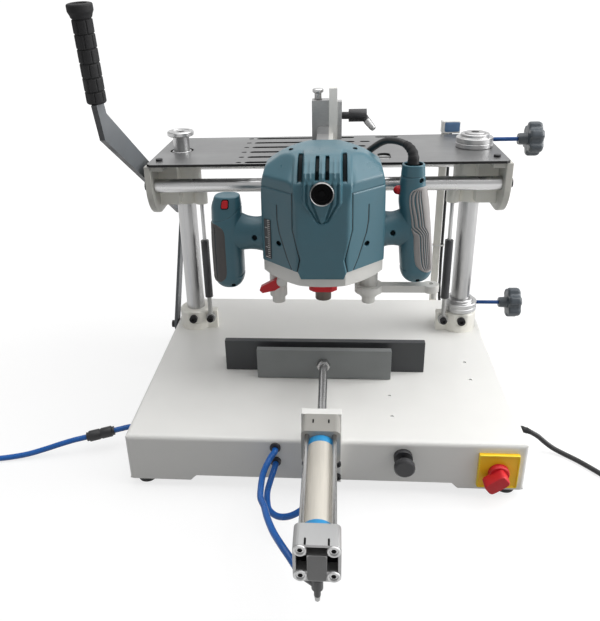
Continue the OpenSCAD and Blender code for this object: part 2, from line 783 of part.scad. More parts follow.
module base_fittings() {
    color([0.1, 0.1, 0.11]) {
        for (z = tube_hole_zs) translate([tube_hole_x, front_y, z]) rotate([90, 0, 0])
            cylinder(h = grommet_h, r = grommet_r);
        translate([post_cable_hole[0], back_y, post_cable_hole[1]]) rotate([-90, 0, 0])
            cylinder(h = grommet_h, r = grommet_r);
        translate([-side_x, supply_exit[1], supply_exit[2]]) rotate([0, -90, 0])
            cylinder(h = gland_h, r = grommet_r);
        translate([side_x, mains_exit[1], mains_exit[2]]) rotate([0, 90, 0])
            cylinder(h = mains_ring_h, r = grommet_r);
        translate([valve_x, front_y, valve_z]) rotate([-90, 0, 0]) difference() {
            union() {
                translate([0, 0, -bezel_h]) cylinder(h = bezel_h, r = bezel_r);
                cylinder(h = 30, r = valve_body_r);
            }
            translate([0, 0, -bezel_h - past]) cylinder(h = 60, r = valve_stem_r + run_fit);
        }
    }
}

// Elbow with a metering screw under a cap; its arm takes the tube
module flow_valve(p, turn) {
    translate([p[0], p[1], valve_drop]) rotate([180, 0, 0]) rotate_extrude()
        polygon([[0, 0], [7, 0], [7, 4], [6, 5], [6, 17], [3.5, 18], [3.5, 27], [2.5, 28], [2.5, 34], [0, 34]]);
    translate([p[0], p[1], valve_arm_z]) rotate([0, 90, turn]) cylinder(h = valve_arm_len, r = 5.8);
}

module flow_valves() {
    color([0.1, 0.1, 0.11]) {
        flow_valve(tail_valve, tail_valve_turn);
        flow_valve(rod_valve, rod_valve_turn);
    }
}

module switch_plate() {
    color("gold") difference() {
        translate([switch_x, front_y - switch_t / 2, switch_z])
            cube([switch_w, switch_t, switch_w], center = true);
        translate([switch_x, 0, switch_z])
            rod_y(switch_shaft_r + run_fit, front_y - switch_t - past, front_y + past);
    }
}

module tube_upper() {
    color("dodgerblue") cord(tube_upper_route, tube_d);
}

module tube_lower() {
    color("dodgerblue") cord(tube_lower_route, tube_d);
}

module supply_stub() {
    color("dodgerblue") cord(supply_stub_route, tube_d, 1);
}

// Turned body between two points
module between(a, b) {
    v = b - a;
    translate(a) rotate([0, 0, atan2(v[1], v[0])]) rotate([0, acos(v[2] / norm(v)), 0]) children();
}

module supply_union() {
    len = norm(supply_union_axis[1] - supply_union_axis[0]);
    color([0.1, 0.1, 0.11]) between(supply_union_axis[0], supply_union_axis[1]) rotate_extrude()
        polygon([[0, 0], [6.5, 0], [6.5, 3], [8, 4], [8, len / 2 - 2], [7, len / 2],
            [8, len / 2 + 2], [8, len - 4], [6.5, len - 3], [6.5, len], [0, len]]);
}

module supply_tube() {
    color("dodgerblue") cord(supply_route, tube_d, 2);
}

// The supply coil starts where the supply tube ends, going the same way
supply_pitch = 1.2 * tube_d;
supply_last = supply_route[len(supply_route) - 1];
supply_go = unit(supply_last - supply_route[len(supply_route) - 2]);
supply_start = supply_last + tube_d * supply_go;
supply_a0 = atan2(supply_go[1], supply_go[0]) - 90;
supply_centre = [supply_start[0] - supply_coil_r * cos(supply_a0),
    supply_start[1] - supply_coil_r * sin(supply_a0)];
supply_loops = coil_path(supply_centre, supply_coil_r, supply_pitch, supply_turns, supply_a0, 1,
    tube_d / 2);
supply_coil_path = concat([supply_last], supply_loops,
    [supply_loops[len(supply_loops) - 1] + tube_d
    * unit(supply_loops[len(supply_loops) - 1] - supply_loops[len(supply_loops) - 2])]);

module supply_coil() {
    color("dodgerblue") tube_along(supply_coil_path, [for (p = supply_coil_path) tube_d / 2], 6);
}

module supply_coupler() {
    n = len(supply_coil_path);
    a = supply_coil_path[n - 1];
    b = a + 52 * unit(a - supply_coil_path[n - 2]);
    color("darkgray") between(a, b) rotate_extrude()
        polygon([[0, 0], [7, 0], [7, 10], [10, 11], [13, 14], [13, 34], [12, 36], [12, 40], [13, 42],
            [13, 50], [11, 52], [6, 52], [6, 44], [0, 44]]);
}

module mains_lead() {
    color([0.09, 0.09, 0.1]) cord_with_boot(mains_route, lead_d);
}

// The mains coil starts where the lead ends, going the same way
mains_pitch = 1.2 * lead_d;
mains_last = mains_route[len(mains_route) - 1];
mains_go = unit(mains_last - mains_route[len(mains_route) - 2]);
mains_start = mains_last + lead_d * mains_go;
mains_a0 = atan2(mains_go[1], mains_go[0]) - 90;
mains_centre = [mains_start[0] - mains_coil_r * cos(mains_a0),
    mains_start[1] - mains_coil_r * sin(mains_a0)];
mains_loops = coil_path(mains_centre, mains_coil_r, mains_pitch, mains_turns, mains_a0, 1,
    lead_d / 2);
mains_coil_path = concat([mains_last], mains_loops,
    [mains_loops[len(mains_loops) - 1] + lead_d
    * unit(mains_loops[len(mains_loops) - 1] - mains_loops[len(mains_loops) - 2])]);
echo(supply_coil_gap = least_gap(supply_loops, tube_d), mains_coil_gap = least_gap(mains_loops, lead_d));

module mains_coil() {
    color([0.09, 0.09, 0.1]) tube_along(mains_coil_path, [for (p = mains_coil_path) lead_d / 2], 6);
}

// Flat plug with three round pins
module mains_plug() {
    n = len(mains_coil_path);
    a = mains_coil_path[n - 1];
    v = unit(a - mains_coil_path[n - 2]);
    low = -a[2] + 0.1;
    color([0.09, 0.09, 0.1]) translate(a) rotate([0, 0, atan2(v[1], v[0])]) {
        rotate([0, 90, 0]) cylinder(h = plug_boot, r1 = 4.5, r2 = 7);
        translate([plug_boot, 0, low]) linear_extrude(23) polygon(both_sides_y([[0, 9], [10, 18], [30, 21],
            [34, 21]]));
        for (p = [[-9.5, 7], [9.5, 7], [0, 16]]) translate([plug_boot + 34, p[0], low + p[1]])
            rotate([0, 90, 0]) cylinder(h = 18, r = 3);
    }
}

function both_sides_y(half) = concat(half, [for (i = [len(half) - 1 : -1 : 0])
    [half[i][0], -half[i][1]]]);

module cable_post() {
    color("gainsboro") span([post_x, back_y, post_low], [post_x + post_w, back_y + post_t, post_top]);
}

module post_cable() {
    color([0.1, 0.1, 0.11]) cord(post_cable_route, post_cable_d, 1);
}

module junction_box() {
    color("steelblue") span([post_x, back_y - 2, post_top],
        [post_x + junction[0], back_y - 2 + junction[1], post_top + junction[2]]);
}

module stop_collar() {
    color("lightgray") collar(stop_z);
}

// Star knob with its stud, at height z
module star_knob(z) {
    x0 = col_x + column_d / 2 + 0.5;
    x1 = col_x + collar_d / 2 + stud_len;
    lobes = 6;
    translate([0, col_y, z + collar_h / 2]) {
        color("royalblue") rod_x(stud_d / 2, x0, x1);
        color([0.1, 0.1, 0.11]) {
            rod_x(star_hub_d / 2, x1, x1 + star_hub_h);
            translate([x1 + star_hub_h, 0, 0]) rotate([0, 90, 0]) linear_extrude(star_t) difference() {
                circle(d = star_d);
                for (i = [0 : lobes - 1]) rotate(360 * i / lobes) translate([star_d / 2 + 2, 0])
                    circle(d = star_d * 0.3);
            }
        }
    }
}

module knob_top() {
    star_knob(plate_top + loose);
}

module knob_stop() {
    star_knob(stop_z);
}

module valve_knob() {
    r = valve_knob_d / 2;
    color([0.1, 0.1, 0.11]) translate([valve_x, front_y - valve_out, valve_z]) rotate([-90, 0, 0])
        rotate_extrude() polygon([[0, 0], [r - 2, 0], [r, 2], [r, 8], [r - 3, 11], [valve_stem_r, 11],
            [valve_stem_r, valve_out + 12], [0, valve_out + 12]]);
}

module switch_knob() {
    y0 = front_y - switch_t - loose;
    h = switch_bar[0] / 2;
    l = switch_bar[1];
    c = 3;
    color("crimson") translate([switch_x, 0, switch_z]) {
        rod_y(switch_shaft_r, y0 - c, front_y + 6);
        rod_y(switch_hub_r, y0 - switch_hub_h, y0);
        rotate([0, switch_turn, 0]) plate_xz(y0 - switch_hub_h - switch_bar[2], switch_bar[2] + c)
            polygon(both_sides([[h - c, l], [h, l - c], [h, c - h], [h - c, -h]]));
    }
}

module piston_rod() {
    color("silver") translate([0, 0, cyl_z]) {
        rod_y(bore_d / 2 - run_fit, piston_y, piston_y + piston_h);
        rod_y(piston_rod_d / 2, piston_y + piston_h, clamp_y);
        translate([0, clamp_y - nut_h, 0]) rotate([-90, 0, 0])
            cylinder(h = nut_h, d = nut_af / cos(30), $fn = 6);
    }
}

module clamp_plate() {
    color("dimgray") span([-clamp_w / 2, clamp_y, clamp_low],
        [clamp_w / 2, clamp_y + plate_thick, clamp_low + clamp_h]);
}

// Slot with round ends from x0 to x1
module slot(x0, x1, y, w) {
    translate([x0 + w / 2, y - w / 2]) square([x1 - x0 - w, w]);
    translate([x0 + w / 2, y]) circle(d = w);
    translate([x1 - w / 2, y]) circle(d = w);
}

module template_plate() {
    c = plate_corner;
    color([0.45, 0.46, 0.48]) translate([0, plate_front, plate_low]) linear_extrude(plate_t) difference() {
        polygon(both_sides([[plate_x - c, 0], [plate_x, c], [plate_x, plate_d - c],
            [plate_x - c, plate_d]]));
        for (s = [-1, 1]) translate([s * col_x, col_y - plate_front]) circle(d = column_hole_d);
        for (s = [-1, 1]) for (y = plate_screw_ys) translate([s * plate_screw_x, y - plate_front])
            circle(r = plate_screw_r + run_fit);
        for (k = [0 : slot_rows - 1]) let (y = 9.5 + k * slot_pitch) {
            slot(-127, -119, y, 6);
            slot(-114, k < 4 ? 62 : 46, y, slot_w);
            if (k >= 4) slot(k == 4 ? 54 : 80, k == 4 ? 70 : 117, y, slot_w - 2);
        }
        slot(88, 108, 9.5 + 4 * slot_pitch, slot_w - 2);
        translate([86, 40]) rotate(90) slot(-19, 19, 0, 18);
    }
}

module carriage_screws() {
    color([0.12, 0.12, 0.13]) {
        pair() {
            for (y = plate_screw_ys) translate([plate_screw_x, y, plate_top]) {
                translate([0, 0, -plate_t - tab_h]) cylinder(h = plate_t + tab_h, r = plate_screw_r);
                cylinder(h = plate_screw_head_h, r = plate_screw_head_r);
            }
            for (y = [front_rod_y, rear_rod_y]) translate([0, y, rod_z]) {
                rod_x(rod_bolt_r, cheek_in - rod_bolt_deep, cheek_out);
                rod_x(rod_bolt_head_r, cheek_out, cheek_out + rod_bolt_head_h);
            }
        }
        translate([0, lever_pivot[0], lever_pivot[1]]) {
            rod_x(11, -cheek_out, loose - lever_in);
            rod_x(lever_pin_r, -cheek_in + 8, -lever_out - loose);
            rod_x(9, -lever_out - loose, -lever_out - 6);
        }
    }
}

module cheeks() {
    outline = concat([[cheek_front, plate_low]],
        arc([cheek_front + cheek_nose_r, plate_low - cheek_h + cheek_nose_r], cheek_nose_r, 180, 270, 10),
        arc([cheek_rear - cheek_tail_r, plate_low - cheek_h + cheek_tail_r], cheek_tail_r, 270, 360, 8),
        [[cheek_rear, plate_low]]);
    color("linen") pair() difference() {
        union() {
            plate_yz(cheek_in, cheek_t) polygon(outline);
            span([tab_in, cheek_front + 3, plate_low - tab_h], [cheek_in, cheek_front + 39, plate_low]);
            span([tab_in, cheek_rear - 33, plate_low - tab_h], [cheek_in, cheek_rear, plate_low]);
        }
        for (y = [front_rod_y, rear_rod_y]) translate([0, y, rod_z])
            rod_x(rod_bolt_r + run_fit, cheek_in - past, cheek_out + past);
        for (y = plate_screw_ys) translate([plate_screw_x, y, plate_low - 2 * tab_h])
            cylinder(h = 3 * tab_h, r = plate_screw_r + run_fit);
        translate([0, lever_pivot[0], lever_pivot[1]])
            rod_x(lever_pin_r + run_fit, cheek_in - past, cheek_out + past);
    }
}

module sleeves() {
    color("linen") pair() difference() {
        union() {
            translate([col_x, col_y, sleeve_low]) cylinder(h = sleeve_h, d = collar_d);
            span([col_x, col_y - 48, sleeve_low + 6], [cheek_in, col_y + 40, plate_low]);
            translate([gas_x, gas_y, sleeve_low]) cylinder(h = gas_boss_h, r = gas_boss_r);
        }
        translate([col_x, col_y, sleeve_low - past])
            cylinder(h = sleeve_h + 2 * past, d = column_d + 2 * run_fit);
        translate([0, lever_pivot[0], lever_pivot[1]]) rod_x(lever_pin_r + run_fit, cheek_in - 9, cheek_out);
    }
}

module cross_rods() {
    color("silver") for (y = [front_rod_y, rear_rod_y]) translate([0, y, rod_z]) difference() {
        rod_x(rod_d / 2, -cheek_in, cheek_in);
        for (s = [-1, 1]) rod_x(rod_bolt_r + run_fit, s * (cheek_in - rod_bolt_deep), s * (cheek_in + past));
    }
}

module gas_rods() {
    color("silver") pair() translate([gas_x, gas_y, gas_rod_low])
        cylinder(h = sleeve_low - gas_rod_low, d = gas_rod_d);
}

module lever_bar() {
    elbow_low = lever_pivot - lever_front * lever_dir - lever_w / 2 * lever_up;
    elbow_high = lever_pivot - lever_front * lever_dir + lever_w / 2 * lever_up;
    across = [handle_dir[1], -handle_dir[0]];
    end_r = 14;
    outline = concat(
        [elbow_high, grip_base + neck_w / 2 * across, grip_base - neck_w / 2 * across, elbow_low],
        [for (a = [-90 : 18 : 90]) lever_end + end_r * (cos(a) * lever_dir + sin(a) * lever_up)]);
    tang = [for (s = [[-1, 0], [1, 0], [1, 1], [-1, 1]])
        grip_base + s[0] * tang_w / 2 * across + s[1] * (grip_len - 20) * handle_dir];
    color([0.3, 0.32, 0.34]) {
        difference() {
            plate_yz(-lever_out, lever_t) {
                polygon(outline);
                polygon(tang);
            }
            translate([0, lever_pivot[0], lever_pivot[1]])
                rod_x(lever_pin_r + run_fit, -lever_out - past, past - lever_in);
        }
        translate([0, lever_end[0], lever_end[1]]) rod_x(link_pin_r, -lever_in, -link_in - 0.5);
    }
}

// Ringed rubber grip round the lever's tang
module lever_grip() {
    r = grip_d / 2;
    seg = (grip_len - 18) / grip_rings;
    rings = [for (i = [0 : grip_rings - 1]) for (q = [[r - 1.5, 0], [r, 2], [r, seg - 2], [r - 1.5, seg]])
        [q[0], i * seg + q[1]]];
    profile = concat([[0, 0]], rings, [[r, grip_len - 15], [r + 3, grip_len - 8], [r + 2.5, grip_len - 1],
        [r + 1, grip_len], [0, grip_len]]);
    color([0.16, 0.16, 0.17]) difference() {
        translate([-(lever_in + lever_out) / 2, grip_base[0], grip_base[1]]) rotate([handle_lean, 0, 0])
            rotate_extrude() polygon(profile);
        translate([-lever_out, 0, 0]) plate_yz(0, lever_t) polygon([for (s = [[-1, -1], [1, -1], [1, 1],
            [-1, 1]]) grip_base + s[0] * tang_w / 2 * [handle_dir[1], -handle_dir[0]]
            + (s[1] > 0 ? grip_len - 20 : -5) * handle_dir]);
    }
}

module link_bar() {
    v = lever_end - link_foot;
    len = norm(v);
    color([0.25, 0.26, 0.28]) difference() {
        translate([0, link_foot[0], link_foot[1]]) rotate([atan2(v[1], v[0]), 0, 0]) {
            rod_x(link_w / 2, -link_out, -link_in);
            translate([0, len, 0]) rod_x(link_w / 2, -link_out, -link_in);
            span([-link_out, 0, -link_w / 2], [-link_in, len, link_w / 2]);
        }
        translate([0, link_foot[0], link_foot[1]]) rod_x(link_pin_r + run_fit, -link_out - past, past - link_in);
        translate([0, lever_end[0], lever_end[1]]) rod_x(link_pin_r + link_slack, -link_out - past, past - link_in);
    }
}

module cross_slide() {
    color("gray") difference() {
        union() {
            span([-block_x, block_front, block_low], [block_x, block_rear, block_top]);
            for (s = [-1, 1]) translate([s * (block_x - rear_wall / 2), 0, 0])
                span([-rear_wall / 2, block_rear - past, rear_low], [rear_wall / 2, rear_rod_y, block_top]);
            span([-block_x, rear_rod_y - 18, rear_low], [block_x, rear_rod_y + 18, block_top]);
        }
        for (y = [front_rod_y, rear_rod_y]) translate([0, y, rod_z])
            rod_x(rod_d / 2 + run_fit, -block_x - past, block_x + past);
        for (s = [-1, 1]) translate([s * slide_rod_x, 0, slide_rod_z])
            rod_y(slide_rod_d / 2 + run_fit, block_front - past, block_rear + past);
    }
}

module slide_rods() {
    y0 = bracket_y + bracket_t;
    color("silver") for (s = [-1, 1]) translate([s * slide_rod_x, 0, slide_rod_z]) {
        rod_y(slide_rod_d / 2, y0, y0 + slide_rod_len);
        rod_y(slide_rod_d / 2 + 3, y0 + slide_rod_len - 4, y0 + slide_rod_len);
    }
}

// Back plate of the router with the stylus arm, its holder and the lead's clamp
module router_bracket() {
    rear = stylus_y - holder_depth / 2;
    color("lightgray") difference() {
        union() {
            span([-bracket_x, bracket_y, router_low + 6], [bracket_x, bracket_y + bracket_t, arm_low + arm_t]);
            span([-arm_x, bracket_y, arm_low], [arm_x, rear + past, arm_low + arm_t]);
            span([holder_left, rear, arm_low], [holder_right, rear + holder_depth, holder_top]);
            plate_xz(rear - 6, 6 + past) polygon(concat([[upright_x, arm_low], [upright_x, foot_top]],
                arc([foot_left + 5, foot_top - 5], 5, 90, 180, 4), [[foot_left, arm_low]]));
            span([holder_right, rear - 6, foot_top - past], [upright_x, rear + 14, holder_top + 18]);
            span([holder_right, rear, arm_low + 4], [boss_x, rear + 20, holder_top - 2]);
            span([bracket_x, bracket_y + loose, cord_block_top - cord_block[2]],
                [bracket_x + cord_block[0], bracket_y + loose + cord_block[1], cord_block_top]);
        }
        translate([stylus_x, stylus_y, arm_low - past])
            cylinder(h = holder_top - arm_low + 2 * past, d = stylus_d + 2 * run_fit);
        translate([stylus_x, stylus_y, holder_top - holder_well]) cylinder(h = holder_well + past, r = holder_well_r);
        translate([0, rear + 10, lever_hub_z]) rod_x(4 + run_fit, holder_right - 6, boss_x + past);
    }
}

// Lower end of the housing's front panel, let into the casting
module bib() {
    plate_xz(-router_front - 1, bib_deep) polygon(both_sides([[bib_low_x, housing_low],
        [bib_x, shoulder_z + 1]]));
}

// Housing as the common volume of its front, side and top outlines
module router_housing() {
    w = router_x;
    t = router_top;
    front = both_sides([[w - 4, housing_low], [w, housing_low + 7], [w, t - 70], [w - 1, t - 42],
        [w - 7, t - 19], [w - 28, t - 5], [w - 50, t]]);
    side = [[-router_front, housing_low], [router_back, housing_low], [router_back, t - 47],
        [router_back - 6, t - 27], [router_back - 31, t], [-11, t], [38 - router_front, t - 7],
        [15 - router_front, t - 23], [4 - router_front, t - 42], [-router_front, t - 67]];
    plan = both_sides([[bib_x, -router_front], [w, -26], [w, 42], [50, router_back]]);
    nose_front = both_sides([[nose_x, t], [nose_x, port_z - 12], [8, port_z - 36], [4, port_z - 38]]);
    nose_side = [[-30, t - 1], [24 - router_front, t - 7], [5 - router_front, t - 16],
        [-router_front - 2, t - 28], [-router_front - 3, port_z - 16], [-router_front, port_z - 38],
        [-30, port_z - 38]];
    color([0.27, 0.43, 0.49]) translate([0, router_y, 0]) difference() {
        union() {
            intersection() {
                plate_xz(-router_front, router_front + router_back) polygon(front);
                plate_yz(-w, 2 * w) polygon(side);
                translate([0, 0, housing_low]) linear_extrude(t - housing_low) polygon(plan);
                union() {
                    span([-w - 1, -router_front - 1, shoulder_z], [w + 1, router_back + 1, t + 1]);
                    bib();
                }
            }
            intersection() {
                plate_xz(-router_front - 4, router_front) polygon(nose_front);
                plate_yz(-nose_x, 2 * nose_x) polygon(nose_side);
            }
            translate([0, 0, port_z]) rod_y(port_ring_r, -router_front - 4, -router_front + 10);
        }
        translate([0, 0, port_z]) rod_y(port_r, -router_front - 4 - past, -router_front + 8);
        for (x = [-27, -5, 5, 27])
            span([x - 2.5, -router_front - 5, t - 26], [x + 2.5, -44, t - 6]);
        for (s = [-1, 1]) translate([s * 57, 0, router_low + 36]) rod_y(2.6, -router_front, -42);
    }
}

module router_casting() {
    w = router_x - casting_inset;
    plan = both_sides([[bib_x - casting_inset, casting_inset - router_front], [w, -24], [w, 40],
        [48, router_back - casting_inset]]);
    color("gainsboro") translate([0, router_y, 0]) difference() {
        union() {
            intersection() {
                translate([0, 0, nose_z]) linear_extrude(shoulder_z - nose_z) polygon(plan);
                rotate_extrude() polygon([[0, nose_z], [nose_r, nose_z], [nose_r + 7, nose_z + 5],
                    [nose_r + 12, nose_z + 8], [router_x - 4, router_low - 2], [router_x + 12, housing_low],
                    [router_x + 12, shoulder_z], [0, shoulder_z]]);
            }
            for (s = [-1, 1]) translate([s * sleeve_x, 0, 0]) {
                translate([0, 0, plunge_low]) cylinder(h = router_low - plunge_low, r = plunge_r);
                translate([0, 0, bush_low]) cylinder(h = plunge_low - bush_low, r = bush_r);
            }
            translate([wing_x, 0, wing_z]) rod_y(wing_hub_r, -14, 0);
        }
        bib();
        translate([0, 0, nose_z - past]) cylinder(h = spindle_top - nose_z + past + loose,
            r = spindle_r + run_fit);
    }
}

// Grip with round edges from its front outline, at x0 and going out in direction s
module handle(s, x0, outline) {
    lo = min([for (p = outline) p[0]]);
    hi = max([for (p = outline) p[0]]);
    h = handle_d / 2;
    r = handle_round;
    mid = (lo + hi) / 2;
    half = (hi - lo) / 2;
    intersection() {
        plate_xz(-h, handle_d) polygon([for (p = outline) [s * (x0 + p[0]), router_low + p[1]]]);
        translate([s * (x0 + mid), 0, router_low - 60]) linear_extrude(router_h + 60)
            polygon(both_sides(concat(arc([half - r, h - r], r, 90, 0, 5), arc([half - r, r - h], r, 0, -90, 5))));
    }
}

// Waisted neck from the housing into a handle
module handle_neck(s, len, z) {
    translate([s * router_x, 0, z]) rotate([0, s * 90, 0]) rotate_extrude()
        polygon([[0, 0], [25, 0], [21, 5], [19, len / 2], [21, len - 4], [22, len + 8], [0, len + 8]]);
}

handle_left_outline = concat([[3, 99], [34, 99], [40, 84], [42, 32]], arc([21, -13], 21, 0, -180, 10),
    [[0, 84]]);
handle_right_outline = concat([[0, 136], [28, 136], [30, 112], [35, 88], [39, 56], [43, 20]],
    arc([24, -4], 21, 0, -180, 10), [[0, 28], [0, 68], [-3, 88], [-2, 112]]);

module router_handles() {
    color([0.27, 0.43, 0.49]) translate([0, router_y, 0]) difference() {
        union() {
            handle(-1, handle_left_x, handle_left_outline);
            handle_neck(-1, handle_left_x - router_x, neck_left_z);
            handle(1, handle_right_x, handle_right_outline);
            handle_neck(1, handle_right_x - router_x, neck_right_z);
        }
        translate([0, 0, button_z]) rod_x(button_r + 0.1, handle_right_x - 8, handle_right_x + 14);
    }
}

// Soft pad on a handle's front
module pad(x, z0, z1) {
    r = pad_w / 2;
    plate_xz(router_y - handle_d / 2 - pad_t, pad_t) {
        translate([x - r, z0]) square([pad_w, z1 - z0]);
        translate([x, z0]) circle(r = r);
        translate([x, z1]) circle(r = r);
    }
}

module grip_pads() {
    color([0.25, 0.27, 0.29]) {
        pad(-handle_left_x - 21, router_low - 12, router_low + 52);
        pad(handle_right_x + 21, router_low - 4, router_low + 76);
    }
}

module side_arm() {
    z0 = router_low - 40;
    t = 10;
    eye_x = router_x + 66;
    color("gainsboro") translate([0, router_y, 0]) difference() {
        union() {
            translate([sleeve_x, 0, z0]) cylinder(h = t, r = plunge_r + 7);
            span([sleeve_x, -7, z0], [eye_x, 7, z0 + t]);
            translate([eye_x, 0, z0]) cylinder(h = t, r = 11);
            translate([eye_x + 4, -4, z0 - 10]) cylinder(h = 11, r = 3);
        }
        translate([sleeve_x, 0, z0 - past]) cylinder(h = t + 2 * past, r = plunge_r + run_fit);
        translate([eye_x, 2, z0 + t / 2]) cylinder(h = t, r = 3.5);
    }
}

module router_cord() {
    color([0.16, 0.16, 0.17]) cord_with_boot(router_cord_route, router_cord_d);
}

module wing_lever() {
    y0 = router_y - 14 - loose;
    px = wing_x;
    pz = wing_z;
    color("crimson") {
        translate([px, 0, pz]) rod_y(wing_hub_r, y0 - 10, y0);
        plate_xz(y0 - 10, 8) polygon([[px, pz + 7], [px - 6, pz + 3.6], [px - 29, pz - 9], [px - 31, pz - 14],
            [px - 27, pz - 18], [px - 10, pz - 14], [px, pz - 7]]);
    }
}

module spindle() {
    color("dimgray") translate([0, router_y, 0]) difference() {
        union() {
            translate([0, 0, collet_z]) cylinder(h = collet_nut_h, r = collet_nut_r);
            translate([0, 0, collet_z + collet_nut_h]) cylinder(h = spindle_top - collet_z - collet_nut_h, r = spindle_r);
        }
        translate([0, 0, collet_z - past]) cylinder(h = collet_deep + past, d = collet_d);
    }
}

module spindle_lock() {
    z0 = nose_z - loose - lock_h;
    color("crimson") translate([0, router_y, z0]) linear_extrude(lock_h)
        polygon([[-lock_x, -14], [-lock_x, -20], [-12, -27], [12, -27], [lock_x, -20], [lock_x, -14]]);
}

module lock_button() {
    x0 = handle_right_x - button_out;
    color("crimson") translate([x0, router_y, button_z]) rotate([0, 90, 0]) rotate_extrude()
        polygon(concat([[0, 0]], arc([0, button_r], button_r, -75, 0, 5),
            [[button_r, button_out + 8], [0, button_out + 8]]));
}

module stylus_pin() {
    color("silver") translate([stylus_x, stylus_y, stylus_low]) {
        cylinder(h = holder_top + 10 - stylus_low, d = stylus_d);
        translate([0, 0, holder_top - stylus_low]) rotate_extrude()
            polygon([[0, 0.5], [5.5, 0.5], [5.5, 9], [8.5, 11], [8.5, 14.5], [7, 16], [0, 16]]);
    }
}

module clamp_lever() {
    y0 = stylus_y - holder_depth / 2 + 10;
    x0 = boss_x + loose;
    color([0.12, 0.12, 0.13]) translate([0, y0, lever_hub_z]) {
        rod_x(4, holder_right - 4, x0);
        rod_x(5.5, x0, x0 + 10);
        rod_x(9.5, x0 + 10, x0 + 37);
        translate([x0 + 31, 0, 0]) rotate([0, acos(lever_arm[2] / norm(lever_arm)),
                atan2(lever_arm[1], lever_arm[0])]) {
            cylinder(h = norm(lever_arm), r1 = 6, r2 = 4);
            translate([0, 0, norm(lever_arm)]) sphere(r = 4.3);
        }
    }
}

base_shell();
rubber_feet();
columns();
column_stops();
column_feet();
base_bolts();
gas_cylinders();
fence();
cylinder_mount();
rod_cap();
tail_cap();
barrel();
tie_rods();
base_fittings();
flow_valves();
switch_plate();
tube_upper();
tube_lower();
supply_stub();
supply_union();
supply_tube();
supply_coil();
supply_coupler();
mains_lead();
mains_coil();
mains_plug();
cable_post();
post_cable();
junction_box();
stop_collar();
knob_top();
knob_stop();
valve_knob();
switch_knob();
piston_rod();
clamp_plate();
template_plate();
carriage_screws();
cheeks();
sleeves();
cross_rods();
gas_rods();
lever_bar();
lever_grip();
link_bar();
cross_slide();
slide_rods();
router_bracket();
router_housing();
router_casting();
router_handles();
grip_pads();
side_arm();
router_cord();
wing_lever();
spindle();
spindle_lock();
lock_button();
stylus_pin();
clamp_lever();
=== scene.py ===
import math

import bmesh
import bpy
import numpy as np
from mathutils import Matrix, Vector


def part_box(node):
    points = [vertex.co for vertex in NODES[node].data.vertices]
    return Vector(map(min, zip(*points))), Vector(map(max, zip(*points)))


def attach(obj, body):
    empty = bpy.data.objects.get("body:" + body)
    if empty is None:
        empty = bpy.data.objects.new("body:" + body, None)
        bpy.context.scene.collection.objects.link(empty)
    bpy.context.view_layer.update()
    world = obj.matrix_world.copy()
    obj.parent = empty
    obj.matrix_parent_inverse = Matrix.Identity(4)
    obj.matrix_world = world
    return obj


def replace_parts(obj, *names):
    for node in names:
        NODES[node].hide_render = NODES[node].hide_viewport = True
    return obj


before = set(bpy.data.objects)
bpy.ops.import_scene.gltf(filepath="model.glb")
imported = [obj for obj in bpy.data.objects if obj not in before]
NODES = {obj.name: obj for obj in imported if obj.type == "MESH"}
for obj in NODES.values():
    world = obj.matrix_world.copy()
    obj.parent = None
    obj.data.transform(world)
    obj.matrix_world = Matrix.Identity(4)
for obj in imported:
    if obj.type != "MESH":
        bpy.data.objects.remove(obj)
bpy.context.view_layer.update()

bl_info = {
    "name": "Bench copy router dressing",
    "version": (1, 0, 0),
    "blender": (4, 5, 0),
    "location": "View3D > Sidebar > Copy Router",
    "description": "Finishes, moulded forms, leads and studio of the bench copy router",
    "category": "Object",
}

MM = 0.001
X, Y, Z = np.eye(3)


def colour(name, description, default):
    """A linear colour that a user may change."""
    return bpy.props.FloatVectorProperty(
        name=name, description=description, subtype="COLOR", size=3, min=0, max=1, default=default)


def size(name, description, default):
    """A length in metres that a user may change."""
    return bpy.props.FloatProperty(
        name=name, description=description, unit="LENGTH", subtype="DISTANCE", min=0, default=default,
        precision=5)


